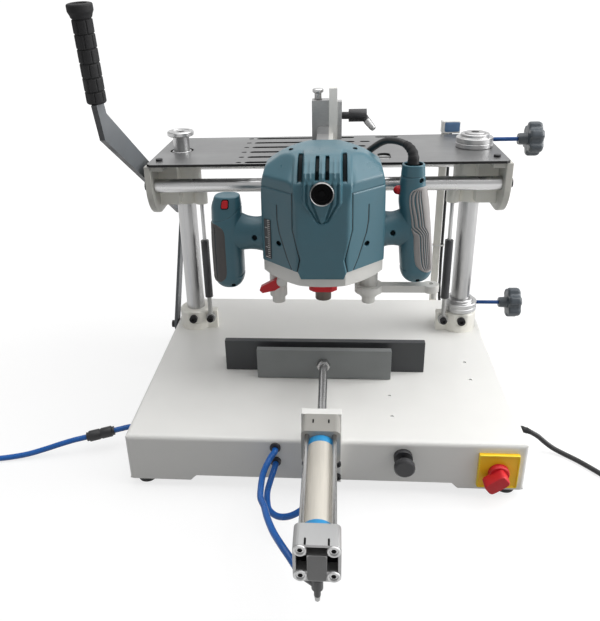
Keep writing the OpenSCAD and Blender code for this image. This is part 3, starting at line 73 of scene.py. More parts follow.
class FinishColours(bpy.types.PropertyGroup):
    """Colours of the machine's finishes"""

    enamel: colour("Base enamel", "Powder coat of the base", (0.82, 0.815, 0.79))
    cream: colour("Carriage paint", "Paint of cheeks, sleeves and column feet", (0.74, 0.725, 0.67))
    slate: colour("Lever paint", "Paint of the hand lever and its link", (0.115, 0.125, 0.135))
    plate: colour("Template steel", "Ground top of the template plate", (0.235, 0.236, 0.238))
    fence: colour("Fence", "Blackened steel of the fence", (0.046, 0.049, 0.053))
    jaw: colour("Clamp plate", "Grey plastic of the clamp plate", (0.195, 0.206, 0.206))
    steel: colour("Ground steel", "Columns and rods", (0.52, 0.52, 0.52))
    bronze: colour("Collet", "Browned steel of the spindle", (0.10, 0.082, 0.07))
    cast: colour("Cast aluminium", "Router's casting and side arm", (0.60, 0.595, 0.57))
    rod_cap: colour("Rod cap", "Dull aluminium of the cylinder's rod cap", (0.37, 0.36, 0.335))
    drawn: colour("Drawn aluminium", "Turned collars and the tail cap", (0.70, 0.70, 0.70))
    barrel: colour("Barrel", "Anodised tube of the air cylinder", (0.70, 0.66, 0.585))
    teal: colour("Router housing", "Moulded housing of the router", (0.048, 0.138, 0.178))
    rubber: colour("Rubber", "Grips, feet and strain reliefs", (0.013, 0.013, 0.014))
    black: colour("Black plastic", "Fittings and blackened screws", (0.018, 0.018, 0.020))
    knob: colour("Star knobs", "Grey black of the star knobs", (0.058, 0.070, 0.082))
    red: colour("Red plastic", "Wing lever, locks and switch", (0.60, 0.016, 0.024))
    yellow: colour("Switch plate", "Yellow of the switch's plate", (1.0, 0.62, 0.022))
    rim: colour("Switch rim", "Brighter rim of the switch's plate", (0.92, 0.70, 0.03))
    blue: colour("Air tube", "Blue of tubes and studs", (0.012, 0.125, 0.46))
    band: colour("Barrel bands", "Blue of the barrel's end bands", (0.025, 0.28, 0.58))
    label: colour("Box label", "Blue of the junction box's label", (0.10, 0.19, 0.34))
    pad: colour("Grip pads", "Soft grey of the router's grip pads", (0.30, 0.285, 0.28))
    floor: colour("Floor", "Studio floor and backdrop", (0.90, 0.90, 0.90))


class TrimSizes(bpy.types.PropertyGroup):
    """Sizes of the fine forms"""

    edge: size("Broken edge", "Bevel on sheet and machined edges", 0.0006)
    cast_edge: size("Cast edge", "Bevel on cast and moulded edges", 0.0014)
    vent_depth: size("Vent depth", "Depth of the housing's vents", 0.009)
    bib_rise: size("Bib rise", "Height of the housing's front panel", 0.0036)
    seam_depth: size("Seam depth", "Depth of the housing's seams", 0.0009)
    grip_groove: size("Grip groove", "Depth of the lever grip's grooves", 0.0013)
    band_width: size("Band width", "Width of the barrel's blue bands", 0.0105)
    tube: size("Air tube", "Outside diameter of the air tubes", 0.008)
    mains: size("Mains lead", "Diameter of the mains lead", 0.007)
    post_lead: size("Post lead", "Diameter of the lead on the post", 0.005)
    router_lead: size("Router lead", "Diameter of the router's lead", 0.009)


def colours():
    """The colours that are set in the scene."""
    return bpy.context.scene.copy_router_colours


def sizes():
    """The trim sizes that are set in the scene."""
    return bpy.context.scene.copy_router_sizes


# Finishes

MATERIALS = {}
# Painted shade in hollows and seam grooves: half width of a seam line in mm, edges of a bed's mask, and the
# gloss left in a bed.
LINE_HALF = 0.42
BED_EDGE = (0.35, 0.65)
BED_GLOSS = 0.05
SIDE_FACING = (0.55, 0.75)
WORN_FACING = (0.90, 0.995)
WORN_RADIUS = 0.0012
# Edge factors: darker edges on pale pieces for wear; paler edges on dark pieces, partly wear and partly a
# painted highlight.
WORN_DARK, WORN_PALE_GLINT = 0.7, 2.2
PALE_BELOW = 0.35
GRAIN_HEIGHT = 0.0004
GRAIN_TONE = 0.72
COAT_ROUGHNESS = 0.12
BEVEL_ANGLE = math.radians(35)

FINISHES = [
    ("enamel", "enamel", 1, 0.42, 0, 0.015, 0.10, 420, "base_shell", dict(coat=0.15)),
    ("cream_paint", "cream", 1, 0.40, 0, 0.03, 0.10, 420, "cable_post", dict(coat=0.15, wear=0.25)),
    # Lit and shaded copies of the carriage paint: sleeves and column feet 1.3 times lighter as painted
    # light, cheeks darker as painted shade.
    ("sleeve_paint", "cream", 1.3, 0.42, 0, 0.03, 0.10, 420, "sleeves column_feet", dict(coat=0.1)),
    ("cheek_paint", "cream", 0.82, 0.42, 0, 0.03, 0.10, 420, "cheeks", dict(coat=0.1, wear=0.25)),
    ("mount_paint", "enamel", 0.98, 0.45, 0, 0.03, 0.10, 500, "cylinder_mount", dict(wear=0.2)),
    # The lever's edge faces are darkened as painted shade; on the template plate below, the darkened cut
    # edges are the plate's own colour.
    ("slate_paint", "slate", 1, 0.45, 0, 0.10, 0.10, 600, "lever_bar",
     dict(wear=0.3, side=0.35, side_axis=0)),
    ("link_paint", "slate", 0.8, 0.45, 0, 0.10, 0.10, 600, "link_bar", dict(wear=0.3)),
    ("template_steel", "plate", 1, 0.38, 0.75, 0.08, 0.10, 260, "template_plate",
     dict(blotch=9, stretch=(0.08, 1, 1), side=0.06)),
    ("fence_steel", "fence", 1, 0.48, 0, 0.14, 0.2, 500, "fence", dict(wear=0.35)),
    ("jaw_grey", "jaw", 1, 0.50, 0, 0.06, 0.2, 700, "clamp_plate", dict(wear=0.2)),
    ("column_steel", "steel", 0.9, 0.36, 1, 0.03, 0.01, 700, "gas_rods",
     dict(stretch=(1, 1, 0.03), spread=0.03)),
    ("cross_steel", "steel", 1.15, 0.28, 1, 0.03, 0.01, 700, "",
     dict(stretch=(0.03, 1, 1), spread=0.03)),
    ("slide_steel", "steel", 1, 0.24, 1, 0.04, 0.012, 700, "tie_rods piston_rod slide_rods",
     dict(stretch=(1, 0.03, 1), spread=0.04)),
    ("turned_steel", "drawn", 0.76, 0.34, 1, 0.04, 0.03, 1500, "stylus_pin",
     dict(stretch=(0.08, 0.08, 1), spread=0.05)),
    ("port_steel", "drawn", 0.40, 0.30, 1, 0.05, 0.03, 900, "", dict(spread=0.05)),
    ("nickel", "drawn", 0.50, 0.34, 1, 0.08, 0.05, 900, "", dict(spread=0.05)),
    ("collet_bronze", "bronze", 1, 0.40, 0.7, 0.15, 0.05, 900, "spindle", {}),
    ("cast_aluminium", "cast", 1, 0.46, 0.25, 0.06, 0.25, 650, "router_casting side_arm", {}),
    ("cap_aluminium", "drawn", 0.58, 0.40, 0.7, 0.07, 0.22, 700, "tail_cap", dict(wear=0.2)),
    ("rod_cap_aluminium", "rod_cap", 1, 0.5, 0.2, 0.05, 0.22, 700, "rod_cap", dict(wear=0.2)),
    ("boss_aluminium", "drawn", 0.85, 0.34, 0.8, 0.06, 0.08, 900, "", {}),
    ("cap_shadow", "drawn", 0.27, 0.55, 0.3, 0.12, 0.3, 700, "", {}),
    ("barrel_aluminium", "barrel", 1, 0.42, 0.25, 0.03, 0.05, 500, "",
     dict(stretch=(1, 0.04, 1), spread=0.04)),
    ("bracket_aluminium", "drawn", 0.66, 0.42, 0.7, 0.08, 0.15, 500, "router_bracket",
     dict(stretch=(0.3, 1, 1), wear=0.2, zone=(0, 0.012, 0.0062, (0.80, 0.79, 0.76)))),
    ("slide_aluminium", "drawn", 0.62, 0.42, 0.8, 0.08, 0.15, 500, "supply_coupler cross_slide",
     dict(stretch=(0.3, 1, 1), wear=0.2)),
    ("black_oxide", "black", 1, 0.40, 0.5, 0.2, 0.12, 900, "base_bolts carriage_screws", {}),
    ("gas_black", "black", 2.2, 0.38, 0.2, 0.15, 0.05, 900, "gas_cylinders",
     dict(zone=(2, 0.100, 0.0432, (0.46, 0.46, 0.45)))),
    ("black_plastic", "black", 1.2, 0.42, 0, 0.15, 0.25, 1200,
     "base_fittings flow_valves supply_union mains_plug valve_knob clamp_lever", {}),
    ("knob_plastic", "knob", 1, 0.36, 0, 0.12, 0.2, 1200, "", {}),
    # Near black: the dome screws' own colour, and painted shade in hollows (port throat, tie sockets, pocket
    # floors, slits, rocker well).
    ("hole_dark", "black", 0.4, 0.8, 0, 0.1, 0.1, 900, "", dict(gloss=0.1)),
    ("rubber", "rubber", 1, 0.66, 0, 0.15, 0.35, 1100, "rubber_feet", dict(spread=0.12, gloss=0.35)),
    ("cord_black", "rubber", 0.9, 0.50, 0, 0.12, 0.3, 1500, "", {}),
    # The pads' groove beds are darkened as painted shade.
    ("pad_rubber", "pad", 1, 0.62, 0, 0.08, 0.35, 1300, "", dict(mark=0.30)),
    ("left_rubber", "pad", 0.22, 0.58, 0, 0.12, 0.35, 1300, "", dict(mark=0.4545)),
    # The housing's vents, holes and seam grooves are darkened to this share as painted shade.
    ("teal_plastic", "teal", 1, 0.34, 0, 0.05, 0.22, 1500, "",
     dict(blotch=24, spread=0.07, coat=0.06, gloss=0.42, mark=0.06)),
    ("red_plastic", "red", 1, 0.40, 0, 0.06, 0.12, 1000, "wing_lever spindle_lock lock_button",
     dict(gloss=0.35)),
    ("yellow_plastic", "yellow", 1, 0.40, 0, 0.03, 0.12, 900, "switch_plate", dict(gloss=0.4)),
    ("yellow_rim", "rim", 1, 0.40, 0, 0.03, 0.12, 900, "", dict(gloss=0.4)),
    ("tube_blue", "blue", 1, 0.28, 0, 0.05, 0.05, 700, "", dict(blotch=30, gloss=0.4)),
    ("stud_blue", "blue", 0.45, 0.40, 0.3, 0.12, 0.10, 1200, "", {}),
    ("band_blue", "band", 1, 0.36, 0, 0.05, 0.08, 900, "", dict(coat=0.2)),
    ("label_blue", "label", 1, 0.5, 0, 0.08, 0.1, 900, "", {}),
    ("pale_plastic", "enamel", 0.9, 0.45, 0, 0.03, 0.15, 900, "junction_box", {}),
]
CAST_NODES = ("router_casting", "side_arm", "cylinder_mount", "rod_cap", "tail_cap", "sleeves", "cheeks",
              "column_feet", "clamp_lever", "wing_lever", "spindle_lock", "mains_plug", "junction_box")


class Shader:
    """Nodes of a material or world under construction; each is added by type and gives an output."""

    def __init__(self, owner):
        owner.use_nodes = True
        self.tree = owner.node_tree
        self.tree.nodes.clear()

    def node(self, kind, inputs=(), out=0, **settings):
        """Output of a new node whose inputs, by name or number, are linked or set."""
        made = self.tree.nodes.new("ShaderNode" + kind)
        for key, value in settings.items():
            setattr(made, key, value)
        for key, value in dict(inputs).items():
            if isinstance(value, bpy.types.NodeSocket):
                self.tree.links.new(value, made.inputs[key])
            else:
                made.inputs[key].default_value = value
        return made.outputs[out] if made.outputs else None

    def place(self):
        """Place in the piece's own coordinates."""
        return self.node("TexCoord", out="Object")

    def normal(self):
        """Direction that the surface faces."""
        return self.node("NewGeometry", out="Normal")

    def part(self, vector, axis):
        """One of a vector's three parts."""
        return self.node("SeparateXYZ", {0: vector}, axis)

    def attribute(self, name):
        """Value of a mesh attribute."""
        return self.node("Attribute", out="Fac", attribute_name=name)

    def ray(self, kind):
        """1 for rays of a kind, and 0 for others."""
        return self.node("LightPath", out=f"Is {kind} Ray")

    def math(self, operation, *values):
        """Result of an operation on numbers or outputs."""
        return self.node("Math", enumerate(values), operation=operation)

    def noise(self, scale, detail=3.0, stretch=None):
        """Noise of a scale, drawn out by a stretch."""
        place = self.place()
        if stretch:
            place = self.node("Mapping", {"Vector": place, "Scale": stretch})
        return self.node("TexNoise", {"Vector": place, "Scale": scale, "Detail": detail}, "Fac")

    def ranged(self, source, low, high, start=0.3, end=0.7):
        """A source's run from start to end, as a run from low to high."""
        return self.node("MapRange", {"Value": source, "From Min": start, "From Max": end,
                                      "To Min": low, "To Max": high}, "Result")

    def mix(self, factor, first, second):
        """The first colour, turning to the second with the factor."""
        first, second = (value if isinstance(value, bpy.types.NodeSocket) else (*value, 1.0)
                         for value in (first, second))
        return self.node("Mix", {0: factor, 6: first, 7: second}, 2, data_type="RGBA")


def shade(rgb, factor):
    """A colour made lighter or darker by a factor, kept within 0 and 1."""
    return tuple(min(max(float(c) * factor, 0.0), 1.0) for c in rgb)


def finish(name, rgb, roughness, metallic, mottle, grain, grain_scale, blotch=18.0, stretch=None,
           spread=0.10, wear=0.0, coat=0.0, side=None, side_axis=2, gloss=0.5, zone=None, mark=None):
    """Procedural finish: slow colour mottling, fine grain in the bump, uneven roughness, worn edges,
    paler on dark pieces partly as a painted highlight.

    stretch draws the grain out along an axis, for brushed and ground metal. side darkens the faces
    that don't look along side_axis: the cut edges' own colour on the template plate, and painted
    shade on the lever's edges. zone gives another colour to a stretch of the piece: axis, middle, half
    length and colour. The last argument paints shade in hollows: it darkens the beds of vents, holes
    and grooves that the piece's attribute of that name fills, and the thin seam grooves where "line",
    a distance in millimetres, goes through zero and "lined" allows it; the beds also lose gloss and coat.
    """
    material = MATERIALS[name] = bpy.data.materials.new(name)
    s = Shader(material)
    slow = s.noise(blotch, 4.0)
    fine = s.noise(grain_scale, 2.0, stretch)
    tone = s.mix(s.ranged(slow, 0.0, 1.0), shade(rgb, 1 - mottle), shade(rgb, 1 + mottle))
    gloss_in, coat_in = gloss, coat
    if stretch:
        tone = s.mix(s.ranged(fine, 0.0, 0.35), tone, shade(rgb, GRAIN_TONE))
    # Faces off side_axis darkened: painted shade on the lever's edges, the cut edges' own colour on the
    # template plate.
    if side:
        facing = s.math("ABSOLUTE", s.part(s.normal(), side_axis))
        tone = s.mix(s.ranged(facing, 0.0, 1.0, *SIDE_FACING), shade(rgb, side), tone)
    if zone:
        axis, middle, half, other = zone
        away = s.math("ABSOLUTE", s.math("SUBTRACT", s.part(s.place(), axis), middle))
        tone = s.mix(s.ranged(away, 0.0, 1.0, half, half + 0.5 * MM), other, tone)
    # Edges found by the Bevel node turn paler on dark pieces, partly wear and partly a painted highlight,
    # and darker on pale pieces as wear.
    if wear:
        rounded = s.node("Bevel", {"Radius": WORN_RADIUS}, samples=4)
        facing = s.node("VectorMath", {0: rounded, 1: s.normal()}, "Value", operation="DOT_PRODUCT")
        patchy = s.math("MULTIPLY", s.ranged(facing, wear, 0.0, *WORN_FACING), s.ranged(slow, 0.3, 1.0))
        tone = s.mix(patchy, tone, shade(rgb, WORN_PALE_GLINT if max(rgb) < PALE_BELOW else WORN_DARK))
    # Painted shade: beds of vents, holes and grooves, and the seam grooves, darkened and robbed of gloss and
    # coat.
    if mark:
        shaded_hollows = shade(rgb, mark)
        bed = s.attribute("mark")
        tone = s.mix(s.ranged(bed, 0.0, 1.0, *BED_EDGE), tone, shaded_hollows)
        gloss_in = s.ranged(bed, gloss, BED_GLOSS, *BED_EDGE)
        coat_in = s.ranged(bed, coat, 0.0, *BED_EDGE)
        near = s.ranged(s.math("ABSOLUTE", s.attribute("line")), 1.0, 0.0, LINE_HALF, 2 * LINE_HALF)
        tone = s.mix(s.math("MULTIPLY", near, s.attribute("lined")), tone, shaded_hollows)
    uneven = s.ranged(slow, max(roughness - spread, 0.04), min(roughness + spread, 1.0))
    grained = s.node("Bump", {"Strength": grain, "Distance": GRAIN_HEIGHT, "Height": fine}, "Normal")
    surface = s.node("BsdfPrincipled", {
        "Base Color": tone, "Roughness": uneven, "Normal": grained, "Metallic": metallic,
        "Specular IOR Level": gloss_in, "Coat Weight": coat_in, "Coat Roughness": COAT_ROUGHNESS})
    s.node("OutputMaterial", {"Surface": surface})


def dress(node, material, width):
    """A CAD piece in its finish, with broken edges of a width."""
    node.data.materials.clear()
    node.data.materials.append(material)
    node.modifiers.new("merged", "WELD").merge_threshold = 0.01 * MM
    bevel = node.modifiers.new("broken_edge", "BEVEL")
    bevel.limit_method = "ANGLE"
    bevel.angle_limit = BEVEL_ANGLE
    bevel.width = width
    bevel.segments = 2
    bevel.harden_normals = True
    bevel.loop_slide = False


class COPYROUTER_OT_finishes(bpy.types.Operator):
    """Finish and broken edges of every CAD piece"""

    bl_idname = "copyrouter.finishes"
    bl_label = "Finish the pieces"

    def execute(self, context):
        s = sizes()
        for name, base, factor, *values, nodes, more in FINISHES:
            finish(name, shade(getattr(colours(), base), factor), *values, **more)
            for node in nodes.split():
                dress(NODES[node], MATERIALS[name], s.cast_edge if node in CAST_NODES else s.edge)
        return {"FINISHED"}


# Surfaces: each is an array of points over two parameters


def linked(name, data):
    """A new object in the scene."""
    made = bpy.data.objects.new(name, data)
    bpy.context.scene.collection.objects.link(made)
    return made


def piece(name, shape, material, body, slot, smooth=30.0, second=None, patch=None, **marks):
    """A finished piece from points and faces: outward normals, soft shading, its finish and its body.

    patch marks the points, from 0 to 1, whose faces take the second finish. Each of the marks, masks of
    painted shade in hollows and seam grooves, becomes an attribute of the points, which the finish reads.
    """
    verts, faces = shape
    mesh = bpy.data.meshes.new(name)
    mesh.from_pydata(verts.tolist(), [], faces)
    for key, values in marks.items():
        values = np.pad(values.ravel(), (0, len(verts) - values.size), mode="edge")
        mesh.attributes.new(key, "FLOAT", "POINT").data.foreach_set("value", values.astype(np.float32))
    if second:
        inside = patch[np.array(faces)].mean(1) > 0.5
        mesh.polygons.foreach_set("material_index", inside.astype(np.int32))
    work = bmesh.new()
    work.from_mesh(mesh)
    bmesh.ops.remove_doubles(work, verts=work.verts, dist=1e-7)
    bmesh.ops.recalc_face_normals(work, faces=work.faces)
    work.to_mesh(mesh)
    work.free()
    mesh.shade_smooth()
    mesh.set_sharp_from_angle(angle=math.radians(smooth))
    for look in filter(None, (material, second)):
        mesh.materials.append(MATERIALS[look])
    made = linked(name, mesh)
    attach(made, body)
    return made


def corners(node):
    """Low and high corner of a CAD piece's box."""
    return tuple(np.array(corner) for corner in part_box(node))


def angles(steps, start=0.0):
    """Even angles once round."""
    return start + np.linspace(0, 2 * np.pi, steps, endpoint=False)


def crossed(rows, columns):
    """Grid of two parameters: the first by row and the second by column."""
    return np.meshgrid(rows, columns, indexing="ij")


def bell(distance, width):
    """1 at no distance, and e to the minus square of the distance in widths beside it."""
    return np.exp(-(distance / width)**2)


def smoothstep(low, high, value):
    """0 before low, 1 past high, and three squares less two cubes of the share between them."""
    t = np.clip((value - low) / (high - low), 0, 1)
    return t * t * (3 - 2 * t)


def through_pairs(value, pairs):
    """Straight runs between (position, value) pairs."""
    return np.interp(value, *np.transpose(pairs))


def soft_outline(t, points):
    """Smooth run through (position, value) pairs: linear between them, rounded by averaging."""
    span = np.ptp(np.asarray(points, float)[:, 0]) * 0.03
    return np.mean([through_pairs(t + o, points) for o in np.linspace(-span, span, 9)], axis=0)


def unit(vector):
    """Vectors divided by their lengths."""
    return vector / np.linalg.norm(vector, axis=-1, keepdims=True)


def seed_for(axis):
    """A direction well away from an axis."""
    return Z if abs(axis[2]) < 0.8 else X


def grid_faces(rows, columns, wrap=True):
    """Quads of a grid of points, joined round its columns where it wraps."""
    index = np.arange(rows * columns).reshape(rows, columns)
    after = np.roll(index, -1, axis=1)
    if not wrap:
        index, after = index[:, :-1], after[:, :-1]
    return np.stack([index[:-1], after[:-1], after[1:], index[1:]], -1).reshape(-1, 4).tolist()


def patch_of(points):
    """Points and faces of an open grid."""
    return points.reshape(-1, 3), grid_faces(*points.shape[:2], wrap=False)


def loft(points, caps=True):
    """Points and faces of a grid of rings; a fan round each end ring's middle closes it."""
    rows, columns = points.shape[:2]
    verts = points.reshape(-1, 3)
    faces = grid_faces(rows, columns)
    if caps:
        ring = np.arange(columns)
        after = np.roll(ring, -1)
        for row in (0, rows - 1):
            hub = np.full(columns, len(verts))
            verts = np.vstack([verts, points[row].mean(0)])
            faces += np.stack([ring + row * columns, after + row * columns, hub], -1).tolist()
    return verts, faces


def joined(*shapes):
    """Several shapes as one list of points and faces."""
    verts, faces, count = [], [], 0
    for points, polygons in shapes:
        verts.append(points)
        faces += [[i + count for i in polygon] for polygon in polygons]
        count += len(points)
    return np.vstack(verts), faces


def turned(profile, origin, axis, steps=64, lobes=None, caps=True):
    """Surface of revolution: the ring at each (radius, distance) in mm of the profile, round an axis.

    Each point is the origin, plus the distance along the axis, plus the radius along the spoke at its
    angle. lobes is a factor on the radius by angle, for star knobs.
    """
    profile = np.asarray(profile, float) * MM
    axis = unit(np.asarray(axis, float))
    side = unit(np.cross(seed_for(axis), axis))
    up = np.cross(axis, side)
    angle = angles(steps)
    spoke = np.cos(angle)[:, None] * side + np.sin(angle)[:, None] * up
    scale = np.ones(steps) if lobes is None else lobes(angle)
    points = (np.asarray(origin, float) + profile[:, None, 1:2] * axis
              + profile[:, None, 0:1] * scale[None, :, None] * spoke[None])
    return loft(points, caps)


def bar(start, end, radius, bore=None):
    """Round bar between two points with broken ends; bore is a blind hole's radius and depth in mm."""
    start, end = np.asarray(start, float), np.asarray(end, float)
    length, radius, broken = np.linalg.norm(end - start) / MM, radius / MM, 0.8
    outline = [(0, 0), (radius - broken, 0), (radius, broken), (radius, length - broken),
               (radius - broken, length)]
    if bore:
        outline += [(bore[0], length), (bore[0], length - bore[1])]
    return turned(outline + [(0, outline[-1][1])], start, end - start, 96)


def squared(angle, power):
    """Cosine and sine to a power with their signs, which square a circle off where it is under 1."""
    return (np.sign(f(angle)) * np.abs(f(angle))**power for f in (np.cos, np.sin))


def squared_ring(half, rows, corner, steps=96):
    """Rings of a rounded oblong: |a|^n + |b|^n = 1 times the half sizes, at each (scale, height)."""
    a, b = squared(angles(steps), 2 / corner)
    rows = np.asarray(rows, float)
    scale, height = rows[:, :1], np.broadcast_to(rows[:, 1:], (len(rows), steps))
    return np.stack([scale * a * half[0], scale * b * half[1], height], -1)


def carried(points, origin, across, up, out):
    """Points in mm on three directions, put in the machine's frame."""
    return np.asarray(origin) + MM * points @ np.array([across, up, out], float)


def flat_patch(centre, half, up, out):
    """Thin plate on a face: a rounded oblong that stands off a little."""
    rows = [(1.0, -0.2), (1.0, 0.18), (0.97, 0.3), (0.4, 0.3)]
    return loft(carried(squared_ring(half, rows, 10, 48), centre, X, up, out))


# Leads and tubes, by points in mm

TUBE_UPPER = [(-60, -218, 68), (-60, -220, 68), (-60, -222, 68), (-64, -231, 67), (-69, -245, 64),
              (-72, -262, 62), (-72, -285, 62), (-70, -305, 65), (-64, -322, 68), (-58, -345, 73),
              (-49, -370, 77), (-38, -392, 80), (-29, -405, 78), (-20, -417, 74), (-16, -420, 74),
              (-12, -423, 74)]
TUBE_LOWER = [(-60, -218, 46), (-60, -220, 46), (-60, -222, 46), (-62, -233, 44), (-65, -248, 40),
              (-67, -262, 37), (-66, -276, 34), (-62, -290, 33), (-50, -302, 35), (-34, -306, 41),
              (-18, -302, 51), (-6, -290, 62), (-1, -278, 70), (0, -269, 74), (0, -265, 74),
              (0, -261, 74)]
SUPPLY = [(-266, -122, 30), (-270, -122, 30), (-274, -122, 30), (-287, -124, 29), (-296.5, -127, 28),
          (-306, -130, 27), (-325, -136, 25), (-344, -142, 23), (-353.5, -145, 22), (-363, -148, 21),
          (-382, -153, 17), (-402, -158, 12), (-426, -164, 7), (-450, -169, 4.5), (-470, -173, 4),
          (-490, -176.5, 4), (-500, -178, 4), (-510, -179.5, 4), (-520, -181, 4)]
MAINS = [(262, -112, 34), (268, -112, 34), (274, -112, 34), (288, -113, 31), (302, -115, 24),
         (313, -117, 15), (324, -121, 8), (337, -128, 4), (350, -140, 3.5), (362, -154, 3.5),
         (376, -172, 3.5), (383, -181, 3.5), (390, -190, 3.5), (397, -199, 3.5), (404, -208, 3.5)]
POST_LEAD = [(205.5, 219, 384), (205.5, 219, 375), (205.5, 219, 366), (205.5, 219, 340),
             (205.5, 219, 300), (205.5, 219, 250), (205.5, 219, 200), (205.5, 219, 160),
             (206, 220, 140), (207, 223, 122), (208, 229, 106), (210, 236, 92), (211, 240, 78),
             (212, 239, 68), (212, 235, 61), (212, 229, 57), (212, 224, 55), (212, 221, 55),
             (212, 218, 55)]
ROUTER_LEAD = [(113.5, -70, 404), (113.5, -70, 407.5), (113.5, -70, 411), (112, -67, 418),
               (107, -60, 424), (99, -51, 427), (91, -41, 427), (83, -30, 425), (76, -19, 420),
               (69, -8, 413), (62, 2, 405), (57, 8, 397), (56, 10, 390), (56, 10, 385), (56, 10, 380)]
COIL_PITCH = 1.2
SUPPLY_COIL, MAINS_COIL = (0.053, 2), (0.050, 3)
BOOT_LENGTH, BOOT_RIBS, RIB_HEIGHT = 0.030, 5, 0.0004
MAINS_BOOT, ROUTER_BOOT = (0.006, 0.0039), (0.0075, 0.0050)


def through(points, steps=6):
    """Smooth path through points: a cubic between neighbours whose ends aim along their neighbours."""
    p = np.asarray(points, float) * MM
    ends = np.vstack([p[:1], p, p[-1:]])[:, None]
    a, b, c, d = ends[:-3], ends[1:-2], ends[2:-1], ends[3:]
    t = (np.arange(steps) / steps)[None, :, None]
    run = 0.5 * (2 * b + t * (c - a) + t**2 * (2 * a - 5 * b + 4 * c - d)
                 + t**3 * (3 * b - a - 3 * c + d))
    return np.vstack([run.reshape(-1, 3), p[-1:]])


def coil_from(points, diameter, radius, turns, per_turn=48):
    """Two-layer coil that goes on from a lead's end: in for some turns, up a layer, and out again."""
    before, last = np.asarray(points[-2:]) * MM
    ahead = unit(last - before)
    pitch = COIL_PITCH * diameter
    start_angle = math.atan2(ahead[1], ahead[0]) - math.pi / 2
    start = last + diameter * ahead
    centre = start[:2] - radius * np.array([math.cos(start_angle), math.sin(start_angle)])
    t = np.linspace(0, 2 * turns + 0.5, int((2 * turns + 0.5) * per_turn) + 1)
    reach = np.where(t < turns, radius - pitch * t,
                     radius - pitch * turns + pitch * np.clip(t - turns - 0.5, 0, None))
    angle = start_angle + 2 * np.pi * t
    rise = diameter / 2 + pitch * 2 * np.clip(t - turns, 0, 0.5)
    loops = np.stack([centre[0] + reach * np.cos(angle), centre[1] + reach * np.sin(angle), rise], 1)
    return np.vstack([loops, loops[-1] + diameter * unit(loops[-1] - loops[-2])])


def lead(name, path, diameter, material, body):
    """A round lead as a curve of one open line with a full bevel."""
    curve = bpy.data.curves.new(name, "CURVE")
    curve.dimensions = "3D"
    curve.bevel_depth = diameter / 2
    curve.bevel_resolution = 5
    curve.use_fill_caps = True
    line = curve.splines.new("POLY")
    line.points.add(len(path) - 1)
    line.points.foreach_set("co", np.hstack([path, np.ones((len(path), 1))]).ravel())
    line.use_smooth = True
    curve.materials.append(MATERIALS[material])
    made = linked(name, curve)
    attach(made, body)
    return made


def run_along(path):
    """Distance from a path's start at each of its points."""
    return np.concatenate([[0], np.cumsum(np.linalg.norm(np.diff(path, axis=0), axis=1))])


def relief(name, path, thick, thin, body):
    """Ribbed strain relief: a round sleeve along a lead's first stretch.

    Its radius runs straight from thick to thin, plus a sine that is squared off into ribs.
    """
    s = np.linspace(0, BOOT_LENGTH, 61)
    line = np.stack([np.interp(s, run_along(path), path[:, k]) for k in range(3)], 1)
    share = s / BOOT_LENGTH
    ribs = RIB_HEIGHT * (smoothstep(-0.3, 0.3, np.sin(2 * np.pi * BOOT_RIBS * share)) - 0.5)
    radii = thick + (thin - thick) * share + ribs * smoothstep(0.1, 0.25, share)
    ahead = unit(np.gradient(line, axis=0))
    side = unit(np.cross(ahead, seed_for(ahead[0])))
    angle = angles(32)[None, :, None]
    ring = np.cos(angle) * side[:, None] + np.sin(angle) * np.cross(ahead, side)[:, None]
    points = line[:, None] + radii[:, None, None] * ring
    return piece(name, loft(points), "rubber", body, "rubber_black", 50)


class COPYROUTER_OT_leads(bpy.types.Operator):
    """Air tubes, supply line, mains lead and the router's leads"""

    bl_idname = "copyrouter.leads"
    bl_label = "Lay tubes and leads"

    def execute(self, context):
        s = sizes()
        for name, route, node in (("air_tube_upper", TUBE_UPPER, "tube_upper"),
                                  ("air_tube_lower", TUBE_LOWER, "tube_lower")):
            path = through(route)
            tube = lead(name, path, s.tube, "tube_blue", "base")
            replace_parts(tube, node)
        path = np.vstack([through(SUPPLY), coil_from(SUPPLY, s.tube, *SUPPLY_COIL)])
        supply = lead("supply_line", path, s.tube, "tube_blue", "base")
        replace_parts(supply, "supply_stub", "supply_tube", "supply_coil")
        path = np.vstack([through(MAINS), coil_from(MAINS, s.mains, *MAINS_COIL)])
        mains = lead("mains_flex", path, s.mains, "cord_black", "base")
        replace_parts(mains, "mains_lead", "mains_coil")
        boot = relief("mains_boot", path, *MAINS_BOOT, "base")
        path = through(POST_LEAD)
        flex = lead("post_flex", path, s.post_lead, "cord_black", "base")
        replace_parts(flex, "post_cable")
        path = through(ROUTER_LEAD)
        flex = lead("router_flex", path, s.router_lead, "cord_black", "router")
        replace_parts(flex, "router_cord")
        boot = relief("router_boot", path, *ROUTER_BOOT, "router")
        return {"FINISHED"}


# Router: in mm from the spindle's axis and the housing's rim

LOW, HIGH = corners("router_housing")
AXIS_Y = sum(corner[1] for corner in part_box("spindle")) / 2
RIM, HALF = float(LOW[2]), float(HIGH[0]) / MM
PORT_UP = float(HIGH[2] - LOW[2]) / MM - 39.2
PORT_TIP = -81.8
PORT_MOUTH, PORT_DEEP = 12.3, 13
HOUSING_MIDDLE = np.array([0, 0, 72.0])
HOUSING_COLUMNS, FRONT_CROWD = 420, 0.50
SKIRT_ROWS, WALL_ROWS = np.linspace(-71.2, -63.6, 6), np.linspace(-62.8, 45, 120)
DOME_ROWS, DOME_END = 100, np.radians(89)
EDGE_POWER = 90
HOUSING_FRONT = [(76, 0), (80, 7), (80, 81), (79, 109), (73, 132), (52, 146), (30, 151)]
HOUSING_SIDE = [(-73, 0), (76, 0), (76, 104), (70, 124), (45, 151), (-11, 151), (-36, 144.5), (-66, 121),
                (-73, 98)]
SIDE_EASE = 1.005
HOUSING_PLAN = [(31, -73), (80, -26), (80, 42), (50, 76)]
